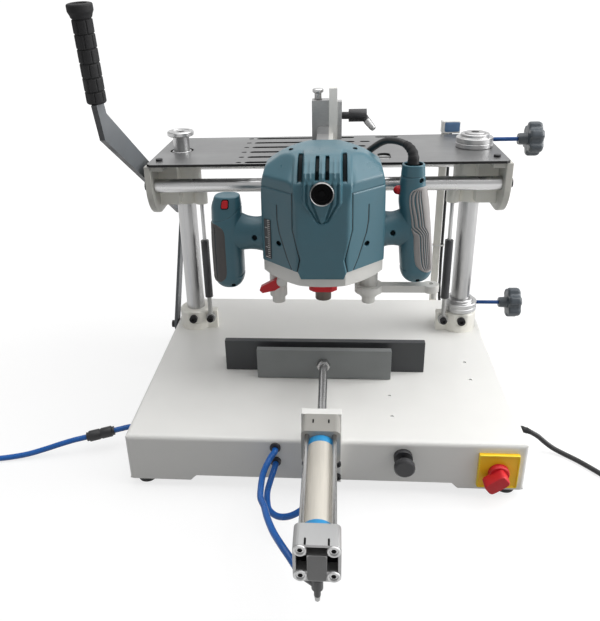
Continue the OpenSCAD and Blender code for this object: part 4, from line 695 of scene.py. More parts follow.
CORNER_SLOPES = [((0.44, -0.46, 0.77), (51.3, -53.6, 123)), ((0.48, 0.42, 0.77), (65.9, 57.9, 115))]
FRONT_FROM = (-20, -34)
BIB_FADE = (150, 135)
BIB_HALF = [(0, 27), (9, 30.5), (26, 27), (64, 36), (154, 35)]
NOSE_HALF = [(PORT_UP - 38, 2), (PORT_UP - 36, 8), (PORT_UP - 12, 23), (PORT_UP + 41, 23)]
NOSE_FRONT = [(PORT_UP - 38, -74.5), (PORT_UP - 16, -79), (123, -78), (135, -71), (144, -52), (150, -34)]
NOSE_FROM = (-5, -20)
NOSE_RIBS, NOSE_RIB_DEEP, NOSE_RIB_WIDE, NOSE_RIB_FADE = (0.50, 0.80), 2.6, 1.3, (128, 120)
SEAM_HALF = [(6, 37), (23, 44.5), (40, 50), (54, 54.5), (70, 57), (90, 57)]
SEAM_LOW, SEAM_HIGH, SEAM_END, SEAM_SLANT, SEAM_WIDE = 6, 90, 110, 0.96, 0.6
BELT_UP, BELT_DEEP, BELT_WIDE = 109, 0.010, 0.7
TUCK_UP, TUCK_DEEP = 8.75, 0.07
SIDE_SCREW, SIDE_SCREW_EDGE, SIDE_SCREW_DEEP = (55.5, 39), (3.4, 2.7), 4
VENTS = [(-27, 2.6, 123, 148), (-6, 2.2, 127, 149), (6, 2.2, 127, 149), (27, 2.6, 123, 148)]
VENT_RIDGES, RIDGE_RISE, RIDGE_WIDE = (-20.5, -14.5, 0, 14.5, 20.5), 1.6, 1.5
RIDGE_FOOT, RIDGE_TOP = (126, 131), (149, 145)
CROWN_UP = 130
DOME_SCREWS = [(-40, -3), (40, -3), (-37, 36), (37, 36)]
SCREW_HEAD = [(0, 1.2), (2.2, 1.2), (3.2, 0.2), (3.4, -3), (0, -3)]
PORT_RING = [(12.4, 12), (14.6, 12), (14.8, 3), (14.4, 0.8), (13.8, 0), (13, 0.6), (12.4, 3), (12.4, 12)]
PORT_THROAT = [(0, 4.5), (3.5, 4.5), (4, 6.5), (8.5, 6.5), (9, 5), (12.6, 5), (12.6, 12), (0, 12)]
SCALE_FOOT, SCALE_HALF, SCALE_LENGTH, SCALE_TICKS = np.array([-70.5, -35.3, 14]), 6.2, 53, 20
SCALE_OUT = np.array([-0.692, -0.722, 0])
SCALE_ACROSS = np.cross(Z, SCALE_OUT)


def on_router(points):
    """Points of the router's own axes in the machine's frame."""
    return np.asarray(points) * MM + (0, AXIS_Y, RIM)


def edge_planes(outline, axes):
    """Planes through the edges of a convex outline on two axes, as normals and distances."""
    p = np.asarray(outline, float)
    d = np.roll(p, -1, axis=0) - p
    n = unit(np.stack([d[:, 1], -d[:, 0]], 1))
    reach = ((p - HOUSING_MIDDLE[list(axes)]) * n).sum(1)
    normals = np.zeros((len(p), 3))
    normals[:, axes] = n * np.sign(reach)[:, None]
    return normals, np.abs(reach)


def mirrored(half):
    """An outline's right half, and back along its mirror image."""
    return list(half) + [(-x, z) for x, z in reversed(half)]


def soft_polyhedron(directions, planes):
    """Distance to a polyhedron's skin in each direction, its edges melted by a power mean.

    Each plane is met at its distance over the cosine to it; the power sum of the inverses rounds
    the corners, more so for a lower power.
    """
    normals = np.vstack([n for n, _ in planes])
    reach = np.concatenate([d for _, d in planes])
    facing = np.clip(directions @ normals.T, 0, None) / reach
    return (facing**EDGE_POWER).sum(-1) ** (-1 / EDGE_POWER)


def housing_skin():
    """Plain skin of the housing: a melted polyhedron of its three outlines and its corner slopes.

    Each point lies in the direction (turn, lean) from the middle. The columns crowd to the front by a
    sine, and lean follows the wall's height and then runs evenly up the dome.
    """
    planes = [edge_planes(mirrored(HOUSING_FRONT), (0, 2)), edge_planes(HOUSING_SIDE, (1, 2)),
              edge_planes(mirrored(HOUSING_PLAN), (0, 1))]
    planes[1][1][:] *= SIDE_EASE
    for normal, point in CORNER_SLOPES:
        slope = unit(np.array(normal)) * [[1, 1, 1], [-1, 1, 1]]
        planes.append((slope, np.full(2, slope[0] @ (point - HOUSING_MIDDLE))))
    u = angles(HOUSING_COLUMNS)
    turn = u - FRONT_CROWD * np.sin(u) - np.pi / 2
    wall = soft_polyhedron(np.stack([np.cos(turn), np.sin(turn), np.zeros(len(u))], -1), planes)
    rise = np.concatenate([SKIRT_ROWS, WALL_ROWS])
    lean = np.arctan2(rise[:, None], wall[None])
    dome = np.linspace(0, 1, DOME_ROWS + 1)[1:, None]
    lean = np.vstack([lean, lean[-1] + (DOME_END - lean[-1]) * dome])
    directions = np.stack([np.cos(lean) * np.cos(turn), np.cos(lean) * np.sin(turn), np.sin(lean)], -1)
    return HOUSING_MIDDLE + soft_polyhedron(directions, planes)[..., None] * directions


def motor_housing():
    """Moulded housing: the plain skin with its front worked in depth.

    A bib stands proud between two slanting lines, a ribbed nose carries the port down to a keel, and
    vents, seams and screw holes go in, all by smooth steps and bells of the distance to their lines.
    Below the shoulder the skin draws in behind the casting, apart from the bib. The vents, port mouth,
    side screw hole and seam grooves are darkened in the finish as painted shade.
    """
    s = sizes()
    x, y, z = np.moveaxis(housing_skin(), -1, 0).copy()
    front, side = smoothstep(*FRONT_FROM, y), np.abs(x)
    bib, nose = through_pairs(z, BIB_HALF), through_pairs(z, NOSE_HALF)
    y -= s.bib_rise / MM * smoothstep(1.1, -1.1, side - bib) * front * smoothstep(*BIB_FADE, z)
    on_nose = (smoothstep(1.4, -1.4, side - nose) * smoothstep(PORT_UP - 40, PORT_UP - 36, z)
               * smoothstep(*NOSE_FROM, y))
    y = y * (1 - on_nose) + np.minimum(y, through_pairs(z, NOSE_FRONT)) * on_nose
    for share in NOSE_RIBS:
        rib = bell(side - share * nose, NOSE_RIB_WIDE) * smoothstep(*NOSE_RIB_FADE, z)
        y += NOSE_RIB_DEEP * rib * on_nose
    # Painted shade mask: vents here, then the port mouth and side screw hole; the vents' mask also sets
    # their depth.
    shaded_hollows = np.zeros_like(x)
    for middle, half, low, high in VENTS:
        slot = (smoothstep(half + 0.4, half - 0.4, np.abs(x - middle)) * smoothstep(low - 0.6, low, z)
                * smoothstep(high + 0.6, high, z))
        shaded_hollows = np.maximum(shaded_hollows, slot * front)
    for middle in VENT_RIDGES:
        ridge = bell(x - middle, RIDGE_WIDE) * smoothstep(*RIDGE_FOOT, z) * smoothstep(*RIDGE_TOP, z)
        y -= RIDGE_RISE * ridge * front
    y += s.vent_depth / MM * shaded_hollows
    mouth = smoothstep(0.5, -0.5, np.hypot(x, z - PORT_UP) - PORT_MOUTH) * front
    y += PORT_DEEP * mouth
    beyond = np.where((z > SEAM_LOW) & (z < SEAM_HIGH),
                      SEAM_SLANT * (through_pairs(z, SEAM_HALF) - side), 1 / MM)
    line = np.minimum(side - bib - 1, beyond)
    lined = np.where(z < SEAM_END, front, 0.0)
    y += s.seam_depth / MM * bell(line, SEAM_WIDE) * lined
    belt = bell(z - BELT_UP, BELT_WIDE) * np.where(y < 0, smoothstep(0, 2, side - bib), 1)
    hole = smoothstep(*SIDE_SCREW_EDGE, np.hypot(side - SIDE_SCREW[0], z - SIDE_SCREW[1])) * front
    y += SIDE_SCREW_DEEP * hole
    behind = smoothstep(0.25, -0.25, z - TUCK_UP) * (1 - smoothstep(0.8, -0.4, side - bib) * front)
    shrink = 1 - BELT_DEEP * belt - TUCK_DEEP * behind
    points = on_router(np.stack([x * shrink, y * shrink, z], -1))
    shaded_hollows = np.maximum.reduce([shaded_hollows, mouth, hole])
    made = piece("motor_housing", loft(points), "teal_plastic", "router", "plastic_teal", 40,
                 mark=shaded_hollows, line=line, lined=lined)
    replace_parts(made, "router_housing")
    dome_screws(points[z > CROWN_UP])


def dome_screws(crown):
    """Turned screw heads on the dome, each as high as the crown's point nearest to its spot."""
    heads = []
    for x, y in DOME_SCREWS:
        spot = on_router((x, y, 0))[:2]
        top = crown[np.linalg.norm(crown[:, :2] - spot, axis=1).argmin(), 2]
        heads.append(turned(SCREW_HEAD, (*spot, top), Z, 32))
    # The screw heads take the near-black finish that stands partly for their colour and partly for painted
    # shade in their holes.
    piece("dome_screws", joined(*heads), "hole_dark", "router", "plastic_black", 40)


def port_and_scale():
    """Turned ring of the port with its throat darkened as painted shade, and the depth scale's strip
    on the left facet.

    The strip is a flat grid that stands off the facet, less at its edges; every fifth tick is longer.
    """
    tip = on_router((0, PORT_TIP, PORT_UP))
    ring = turned(PORT_RING, tip, Y, 96, caps=False)
    piece("port_ring", ring, "port_steel", "router", "turned_steel", 45)
    # The throat takes the near-black finish as painted shade inside the port.
    piece("port_throat", turned(PORT_THROAT, tip, Y), "hole_dark", "router", "plastic_black", 40)
    v, u = crossed(np.linspace(0, 1, 161), np.linspace(-1, 1, 25))
    inside = np.minimum(smoothstep(1, 0.8, np.abs(u)), smoothstep(0, 0.02, v) * smoothstep(1, 0.98, v))
    points = (SCALE_FOOT + SCALE_HALF * u[..., None] * SCALE_ACROSS + SCALE_LENGTH * v[..., None] * Z
              + (0.5 + 0.4 * inside)[..., None] * SCALE_OUT)
    step = v * SCALE_TICKS
    longer = step.astype(int) % 5 == 0
    tick = (step % 1 > 0.62) & (u > np.where(longer, -0.7, 0.0)) & (u < 0.8)
    piece("depth_scale", patch_of(on_router(points)), "black_plastic", "router", "plastic_black", 60,
          "pale_plastic", tick.ravel().astype(float))


HANDLES = {
    "left": {"sign": -1, "start": 108, "neck": 36, "low": -34, "high": 97, "crown": 2.2,
             "inner": [(-34, 21), (-13, 0), (84, 0), (97, 2)],
             "outer": [(-34, 21), (-13, 42), (32, 42), (84, 40), (97, 35)],
             "middle": 21, "turn_up": -13, "back": [(-34, 22), (62, 22), (97, 17)],
             "front": [(-34, 22), (58, 22), (97, 13)],
             "flare": (17, 6), "dents": [(31, 52, 4.2), (14, -26, 3.6)],
             "split": [(0, 82), (12, 72), (28, 66), (42, 65)], "rim": False},
    "right": {"sign": 1, "start": 100, "neck": 42, "low": -25, "high": 136, "crown": 1.2,
              "inner": [(-25, 24), (-4, 3), (28, 0), (68, 0), (88, -3), (112, -2), (136, 0)],
              "outer": [(-25, 24), (-4, 45), (20, 43), (56, 39), (88, 35), (112, 30), (136, 28)],
              "middle": 24, "turn_up": -4, "back": [(-25, 22), (82, 21), (112, 16), (136, 15)],
              "front": [(-25, 22), (82, 21), (112, 16), (136, 15)],
              "flare": (17, 9), "dents": [(24, 117, 3.4), (26, -18, 3.4)],
              "split": [(-6, 121), (40, 121)], "rim": True},
}
HANDLE_FOOT = -8
END_ROUND = 21.0
HANDLE_BEND = 2 / 2.5
HANDLE_SHARE, HANDLE_LIFT = 0.9999, 0.001
# Rows of the collar's rim that go in further than the last value are darkened as painted shade.
RIM_DOWN, RIM_IN, RIM_SHADE_BELOW = (0, 0.6, 3, 12), (-1.2, -2.4, -2.6, -2.9), -2.5
DENT_DEEP, SPLIT_DEEP, SPLIT_WIDE = 3.0, 0.9, 0.7
NECK_HALF, NECK_DEEP, NECK_IN, NECK_ON = 20, 18.5, 4, 12
NECK_ROOT_UP, NECK_ROOT_DOWN, NECK_ROOT_DEEP = 5, 6, 5
NECK_END_DEEP, NECK_FLARE = 2.5, 2.4
NECK_SCREW, NECK_SCREW_EDGE, NECK_SCREW_DEEP = 10, (3.8, 3.0), 3
PAD_LET_IN, PAD_GROOVE_DEEP, PAD_GROOVE_SHARE = 0.8, 1.3, 0.028


def handle_points(h, height, angle, swell=0.0):
    """Skin of a handle: a rounded oblong at each height, its lower end a half round.

    The inner and outer edges and the depth to front and back follow the handle's outlines, times a
    squared cosine and sine of the angle; swell lets a pad stand off the skin.
    """
    low = h["turn_up"]
    fall = np.sqrt(np.clip(1 - ((low - np.minimum(height, low)) / END_ROUND)**2, 0, 1))
    inner = np.where(height < low, h["middle"] - END_ROUND * fall, soft_outline(height, h["inner"]))
    outer = np.where(height < low, h["middle"] + END_ROUND * fall, soft_outline(height, h["outer"]))
    close = np.clip((height - (h["high"] - h["crown"])) / h["crown"], 0, 1)
    stand = swell - h["crown"] * (1 - np.sqrt(1 - close**2))
    middle, half = (inner + outer) / 2, (outer - inner) / 2 + stand
    across, away = squared(angle, HANDLE_BEND)
    front, back = (soft_outline(height, h[key]) * fall for key in ("front", "back"))
    depth = np.where(away < 0, front, back) + stand
    x = h["sign"] * (h["start"] + middle + half * across)
    return np.stack([x, depth * away, HANDLE_FOOT + height], -1), middle


def grip_handle(name, h):
    """One handle with its screw holes and split line; the right one ends in an open collar.

    Its skin goes in by a round step at each hole and by a bell along the line. Its rows lie closer at
    both ends, by a cosine, and stop just short of them.
    """
    rows, columns = 240, 160
    run = 0.5 - 0.5 * np.cos(np.pi * np.linspace(0, 1, rows))
    height = h["low"] + (h["high"] - h["low"]) * run * HANDLE_SHARE + HANDLE_LIFT
    swell = np.zeros(rows)
    if h["rim"]:
        height = np.concatenate([height, h["high"] - np.array(RIM_DOWN)])
        swell = np.concatenate([swell, RIM_IN])
    height, angle = crossed(height, angles(columns, -np.pi))
    points, middle = handle_points(h, height, angle, swell[:, None])
    outward = np.abs(points[..., 0]) - h["start"]
    inward = np.stack([-h["sign"] * (outward - middle), -points[..., 1]], -1)
    inward /= np.linalg.norm(inward, axis=-1, keepdims=True) + 1e-9
    depth = np.zeros_like(height)
    # Painted shade: the inside of the collar's rim and the screw holes are darkened through the finish.
    shaded_hollows = np.where(swell[:, None] < RIM_SHADE_BELOW, 1.0, depth)
    for across, up, radius in h["dents"]:
        away = np.hypot(outward - across, height - up)
        dent = smoothstep(radius, radius - 0.8, away) * (angle < -0.05)
        depth = np.maximum(depth, DENT_DEEP * dent)
        shaded_hollows = np.maximum(shaded_hollows, dent)
    depth += SPLIT_DEEP * bell(height - through_pairs(outward, h["split"]), SPLIT_WIDE)
    points[..., :2] += inward * depth[..., None]
    return piece(name, loft(on_router(points)), "teal_plastic", "router", "plastic_teal", 50, mark=shaded_hollows)


def handle_neck(name, h):
    """Trumpet between housing and handle: an oval ring at each step, wider at both ends.

    Its half height and depth shrink with the cube of the way left and grow with a power of the way.
    """
    t, angle = crossed(np.linspace(0, 1, 60), angles(96, -np.pi))
    high, low = h["flare"]
    up = NECK_HALF + NECK_ROOT_UP * (1 - t)**3 + high * t**NECK_FLARE
    down = NECK_HALF + NECK_ROOT_DOWN * (1 - t)**3 + low * t**NECK_FLARE
    deep = NECK_DEEP + NECK_ROOT_DEEP * (1 - t)**3 + NECK_END_DEEP * t**2
    start, end = HALF - NECK_IN, h["start"] + NECK_ON
    x = start + (end - start) * t
    rise = np.where(np.sin(angle) > 0, up, down) * np.sin(angle)
    y = deep * np.cos(angle)
    spot = smoothstep(*NECK_SCREW_EDGE, np.hypot(x - HALF - NECK_SCREW, rise)) * (y < 0)
    points = np.stack([h["sign"] * x, y + NECK_SCREW_DEEP * spot, h["neck"] + rise], -1)
    # The screw hole's spot is darkened through the finish as painted shade.
    return piece(name, loft(on_router(points)), "teal_plastic", "router", "plastic_teal", 50, mark=spot)


def skin_patch(name, h, bottom, top, start, end, rise, material, slot, grooves=(), corner=5.0):
    """Patch on a handle's skin with round corners, lifted by rise and let in at its edge.

    start and end are its edges' angles by height. Each groove is a share of the width, by height,
    and its bed is darkened as painted shade.
    """
    v, u = crossed(np.linspace(-1, 1, 140), np.linspace(-1, 1, 120))
    height = (bottom + top) / 2 + (top - bottom) / 2 * v
    first, last = (through_pairs(height, edge) for edge in (start, end))
    angle = (first + last) / 2 + (last - first) / 2 * u * (1 - np.abs(v)**(2 * corner)) ** 0.5
    edge = np.minimum(1 - np.abs(u), (1 - np.abs(v)) * corner)
    swell = -PAD_LET_IN + (PAD_LET_IN + rise) * smoothstep(0.0, 0.12, edge)
    bed = np.zeros_like(height)
    for line in grooves:
        centre = through_pairs(height, line)
        bed = np.maximum(bed, bell(u - centre, PAD_GROOVE_SHARE) * smoothstep(0.97, 0.88, np.abs(v)))
    points, _ = handle_points(h, height, angle, swell - PAD_GROOVE_DEEP * bed)
    return piece(name, patch_of(on_router(points)), material, "router", slot, 60, mark=bed)


class COPYROUTER_OT_router(bpy.types.Operator):
    """Moulded housing, handles, necks, pads and port of the router"""

    bl_idname = "copyrouter.router"
    bl_label = "Mould the router"

    def execute(self, context):
        left, right = HANDLES["left"], HANDLES["right"]
        motor_housing()
        port_and_scale()
        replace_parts(grip_handle("left_handle", left), "router_handles")
        grip_handle("right_handle", right)
        handle_neck("left_neck", left)
        handle_neck("right_neck", right)
        waves = [[(-14, a + 0.22), (48, a + 0.20), (58, a), (104, a - 0.04)]
                 for a in (-0.90, -0.76, -0.62, -0.48, -0.34)]
        made = skin_patch("left_pad", left, -21, 63, [(-21, -1.62)], [(-21, 0.5)], 0.9, "left_rubber",
                          "rubber_black", [[(0, -0.35)], [(0, -0.05)]])
        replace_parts(made, "grip_pads")
        skin_patch("right_pad", right, -6, 110, [(-6, -1.72), (46, -1.75), (60, -1.95), (110, -2.05)],
                   [(0, 0.55)], 0.9, "pad_rubber", "rubber_black", waves)
        # A near-black patch under the rocker switch paints the shade of its well.
        skin_patch("rocker_well", left, 82, 95, [(0, -1.78)], [(0, -1.34)], 0.25, "hole_dark",
                   "plastic_black", corner=3.0)
        skin_patch("rocker_switch", left, 83.5, 93.5, [(0, -1.71)], [(0, -1.41)], 1.6, "red_plastic",
                   "plastic_red", corner=3.0)
        return {"FINISHED"}


# Rods and collars, profiles in mm

COLLAR = [(15.1, 0), (26.2, 0), (27, 0.8), (27, 6.4), (26.5, 6.9), (26.5, 7.7), (27, 8.2), (27, 14.2),
          (26.2, 15), (21.8, 15), (21, 15.6), (21, 19.2), (20.2, 20), (16.2, 20), (15.1, 19.2), (15.1, 0)]
COLUMN_CAP = [(0, 0), (12.5, 0), (12.5, 21.5), (13, 22.5), (19, 23.2), (20.5, 24.5), (20.5, 29),
              (19.2, 30.6), (16.5, 31), (14, 30.6), (13.5, 29.8), (7.5, 29.8), (6, 29), (6, 12), (0, 12)]
COLUMN_BORE = (6, 12)
COLLAR_GAP = 0.0002


def collar(x, y, z):
    """Two-step collar with a groove round it, on a column's axis."""
    return turned(COLLAR, (x, y, z), Z, 96, caps=False)


class COPYROUTER_OT_rods(bpy.types.Operator):
    """Columns with their cap and collars, cross rods and the cylinder's barrel"""

    bl_idname = "copyrouter.rods"
    bl_label = "Turn rods and collars"

    def execute(self, context):
        low, high = corners("columns")
        r, y = (high[1] - low[1]) / 2, (high[1] + low[1]) / 2
        left, right = low[0] + r, high[0] - r
        top = corners("template_plate")[1][2]
        columns = joined(bar((left, y, low[2]), (left, y, top), r),
                         bar((right, y, low[2]), (right, y, high[2]), r, bore=COLUMN_BORE))
        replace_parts(piece("column_bars", columns, "column_steel", "base", "ground_steel"), "columns")
        caps = joined(turned(COLUMN_CAP, (left, y, top), Z, 96), collar(right, y, top + COLLAR_GAP))
        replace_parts(piece("column_caps", caps, "turned_steel", "base", "turned_steel"), "column_stops")
        ring = collar(right, y, corners("stop_collar")[0][2])
        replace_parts(piece("stop_ring", ring, "turned_steel", "stop_collar", "turned_steel"), "stop_collar")
        low, high = corners("cross_rods")
        r, z = (high[2] - low[2]) / 2, (high[2] + low[2]) / 2
        rods = joined(*(bar((low[0], y, z), (high[0], y, z), r) for y in (low[1] + r, high[1] - r)))
        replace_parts(piece("cross_bars", rods, "cross_steel", "carriage", "ground_steel"), "cross_rods")
        low, high = corners("barrel")
        x, z = (low + high)[[0, 2]] / 2
        tube = bar((x, low[1], z), (x, high[1], z), (high[2] - low[2]) / 2)
        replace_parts(piece("barrel_tube", tube, "barrel_aluminium", "base", "aluminium_drawn"), "barrel")
        return {"FINISHED"}


# Grips, knobs and cylinder, profiles in mm

GRIP_LEAN = math.radians(7)
GRIP_LENGTH, GRIP_RADIUS = 112, 12
GRIP_OUTLINE = [(0, 10.6), (1.2, 11.8), (3, 12), (96, 12), (100, 13.2), (103.5, 14.9), (105, 15),
                (110, 15), (111.4, 14.2), (GRIP_LENGTH, 12)]
GRIP_DISH = [(GRIP_LENGTH, 9), (GRIP_LENGTH - 1.4, 8.2), (GRIP_LENGTH - 2.2, 3)]
GRIP_START, GRIP_PITCH, GRIP_BLOCKS = 14.5, 16.2, 7
GRIP_RINGS, GRIP_RING_WIDE = (8, 99), 0.75
GRIP_SLOTS, GRIP_SLOT_WIDE, GRIP_SLOT_SHARE = (3, 95), 0.6, 0.75
STAR_REACH, STAR_NOTCH, STAR_NOTCH_AT, STAR_DEEP = 25, 7.5, 27, 33
STAR_HUB = [(0, 18), (10.5, 18), (8.8, 21.5), (8.5, 30.5), (7.8, 32.8), (0, STAR_DEEP)]
TIE_HALF = 0.01625
TIE_SOCKET = [(0, 0), (2.6, 0), (2.8, 1.2), (0, 1.2)]
TIE_BOSS = [(4.2, 2), (4.3, -1.1), (5, -1.7), (6, -1.6), (6.7, -0.8), (6.9, 2), (4.2, 2)]
POCKET_HALF, POCKET_OUT, POCKET_DEEP = (10, 5.1), 15, 13.1
SWITCH_DISC = [(0, 0), (12.2, 0), (13, 0.8), (13, 6), (11.8, 8), (0, 8)]
SWITCH_GRIP = [(1, 6), (1, 20), (0.975, 21.8), (0.92, 22.8), (0.5, 23)]
SWITCH_GRIP_HALF, SWITCH_GRIP_OUT = (15, 8.4), 6.6
SWITCH_ALONG = np.array([-0.78, 0, -0.626])
SWITCH_RIM = [(1, -1), (1, 0.8), (0.99, 1.2), (0.945, 1.2), (0.935, 0.8), (0.935, -1)]
WING_HUB_IN, WING_HUB_OUT = 0.007, 0.0045
WING_HUB = [(0, 0), (5.8, 0), (7.2, 1.4), (7.4, 5.5), (0, 5.5)]
VALVE_TIP_IN, VALVE_TIP_DOWN = 0.007, 0.0003
VALVE_TIP = [(0, 0), (2, 0), (2.7, 0.6), (2.7, 3.5), (3.1, 4), (3.1, 6.4), (0, 6.4)]
LEVER_ARM = np.array([14.5, -14, -16])
LEVER_END_IN = 0.0043 * np.array([-1, 1, 1])
SLEEVED = 0.55
CABLE_TIE = [(1, -1.3), (1, 1.3), (0.93, 1.3), (0.93, -1.3), (1, -1.3)]
CABLE_TIE_HALF, CABLE_TIE_AT = (10.2, 4.6), (0.1990, 0.2185, 0.187)
LABEL_HALF, LABEL_RIGHT, LABEL_UP = (12, 7.8), 0.0015, 0.0005
CAP_FACE_HALF, CAP_FACE_DOWN = (9.4, 16), 0.0066
TAIL_SLIT, TAIL_SLIT_X, TAIL_SLIT_Y = (1, 4.4), 0.0114, 0.0046
ROD_SLIT, ROD_SLIT_X, ROD_SLIT_Y = (0.9, 3.6), 0.0095, 0.020


def lever_grip():
    """Rubber grip: a flared sleeve whose rings and staggered lengthwise grooves leave blocks.

    The radius follows an outline along the lean axis, less a bell across each groove.
    """
    low, high = corners("lever_grip")
    cos, sin = math.cos(GRIP_LEAN), math.sin(GRIP_LEAN)
    axis = np.array([0, -sin, cos])
    base = ((low[0] + high[0]) / 2, high[1] - GRIP_RADIUS * MM * cos, low[2] + GRIP_RADIUS * MM * sin)
    s, a = crossed(np.linspace(0, GRIP_LENGTH, 320), angles(168))
    place = (s - GRIP_START) / GRIP_PITCH
    ring = bell((place - np.round(place)) * GRIP_PITCH, GRIP_RING_WIDE)
    ring *= (s > GRIP_RINGS[0]) & (s < GRIP_RINGS[1])
    stagger = np.where(np.floor(place) % 2 == 0, 0.0, np.pi / GRIP_BLOCKS)
    share = GRIP_BLOCKS / (2 * np.pi)
    off = (((a + stagger) * share + 0.5) % 1 - 0.5) / share * GRIP_RADIUS
    slot = GRIP_SLOT_SHARE * bell(off, GRIP_SLOT_WIDE) * ((s > GRIP_SLOTS[0]) & (s < GRIP_SLOTS[1]))
    radius = through_pairs(s, GRIP_OUTLINE) - sizes().grip_groove / MM * np.maximum(ring, slot)
    spoke = np.cos(a)[..., None] * X + np.sin(a)[..., None] * np.cross(axis, X)
    dish = np.array(GRIP_DISH)[..., None, None]
    points = np.concatenate([s[..., None] * axis + radius[..., None] * spoke,
                             dish[:, 0] * axis + dish[:, 1] * spoke[0]])
    made = piece("grip_sleeve", loft(base + MM * points), "rubber", "lever", "rubber_black", 50)
    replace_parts(made, "lever_grip")


def star_lobes(angle):
    """Radius factor: the ray's cut with six round notches, averaged over a few degrees."""
    cut = []
    for shift in np.radians(np.linspace(-5, 5, 11)):
        d = (angle + shift + np.pi / 6) % (np.pi / 3) - np.pi / 6
        inside = np.clip(STAR_NOTCH**2 - (STAR_NOTCH_AT * np.sin(d))**2, 0, None)
        reach = np.minimum(STAR_NOTCH_AT * np.cos(d) - np.sqrt(inside), STAR_REACH)
        cut.append(np.where(inside > 0, reach, STAR_REACH) / STAR_REACH)
    return np.mean(cut, axis=0)


def star_knob(name, node, body):
    """Star knob on its stud: six lobes round a dished face, a barrel hub and a blue stud."""
    low, high = corners(node)
    tip, end = ((x, *(low + high)[1:] / 2) for x in (high[0], low[0]))
    t = np.linspace(0, np.pi / 2, 7)
    edge = np.stack([STAR_REACH - 5 + 5 * np.sin(t), 6 - 6 * np.cos(t)], 1)
    back = np.stack([STAR_REACH - 4 + 4 * np.cos(t), 16 + 4 * np.sin(t)], 1)
    star = [(0, 1.8), (10, 1.4), (16, 0), *edge, *back, (10, 20.5), (0, 20.5)]
    knob = joined(turned(star, tip, -X, 144, star_lobes), turned(STAR_HUB, tip, -X))
    made = piece(name, knob, "knob_plastic", body, "plastic_black", 40)
    stud = [(0, 0), (2.5, 0), (3, 0.6), (3, (high[0] - low[0]) / MM - STAR_DEEP + 1)]
    piece(name + "_stud", turned(stud, end, X, 48), "stud_blue", body, "plastic_blue", 40)
    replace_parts(made, node)


def cylinder_trim():
    """Blue end bands of the barrel, and bosses of the tail cap, whose sockets and pocket floors are
    darkened as painted shade.

    Each pocket's floor is an oblong grid, bent by the square of its width and turned about the axis.
    """
    low, high = corners("barrel")
    x, _, z = (low + high) / 2
    r, w = (high[2] - low[2]) / 2 / MM, sizes().band_width / MM
    band = [(r - 1, 0), (r + 0.3, 0), (r + 0.5, 0.6), (r + 0.5, w - 0.6), (r + 0.3, w), (r - 1, w),
            (r - 1, 0)]
    starts = (low[1] + 0.4 * MM, high[1] - (w + 0.4) * MM)
    bands = [turned(band, (x, start, z), Y, 96, caps=False) for start in starts]
    piece("barrel_bands", joined(*bands), "band_blue", "base", "plastic_blue", 40)
    end = corners("tail_cap")[0][1]
    ties = [(sx * TIE_HALF, z + sz * TIE_HALF) for sx in (-1, 1) for sz in (-1, 1)]
    bosses = [turned(TIE_BOSS, (a, end, b), Y, caps=False) for a, b in ties]
    piece("tie_bosses", joined(*bosses), "boss_aluminium", "base", "aluminium_cast", 40)
    # Near-black sockets paint the shade in the tie rods' holes.
    sockets = [turned(TIE_SOCKET, (a, end - 0.3 * MM, b), Y, 6) for a, b in ties]
    piece("tie_sockets", joined(*sockets), "hole_dark", "base", "black_oxide")
    u, v = crossed(*[np.linspace(-1, 1, 9)] * 2)
    floor = np.stack([POCKET_HALF[0] * u, POCKET_DEEP - 0.6 * u**2, POCKET_OUT + POCKET_HALF[1] * v], -1)
    pockets = []
    for turn in (0, np.pi / 2, 3 * np.pi / 2):
        cos, sin = math.cos(turn), math.sin(turn)
        pockets.append(patch_of(carried(floor, (x, end, z), (cos, 0, -sin), Y, (sin, 0, cos))))
    # Near-black pocket floors paint the shade in the pockets.
    piece("pocket_floors", joined(*pockets), "hole_dark", "base", "black_oxide")


def rotary_switch():
    """Switch knob: a turned disc under a rounded grip that points down to the left; the plate's rim."""
    low, high = corners("switch_plate")
    centre = np.array([(low[0] + high[0]) / 2, low[1], (low[2] + high[2]) / 2])
    place = centre - 0.2 * MM * Y
    start = place + SWITCH_GRIP_OUT * MM * SWITCH_ALONG
    grip = squared_ring(SWITCH_GRIP_HALF, SWITCH_GRIP, 5)
    grip = carried(grip, start, SWITCH_ALONG, np.cross(SWITCH_ALONG, Y), -Y)
    knob = joined(turned(SWITCH_DISC, place, -Y, 72), loft(grip))
    made = piece("switch_grip", knob, "red_plastic", "switch_knob", "plastic_red", 40)
    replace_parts(made, "switch_knob")
    half = (high[0] - low[0]) / 2 / MM + 0.2
    rim = carried(squared_ring((half, half), SWITCH_RIM, 24, 160), centre, X, Z, -Y)
    piece("switch_rim", loft(rim, caps=False), "yellow_rim", "base", "plastic_yellow", 40)


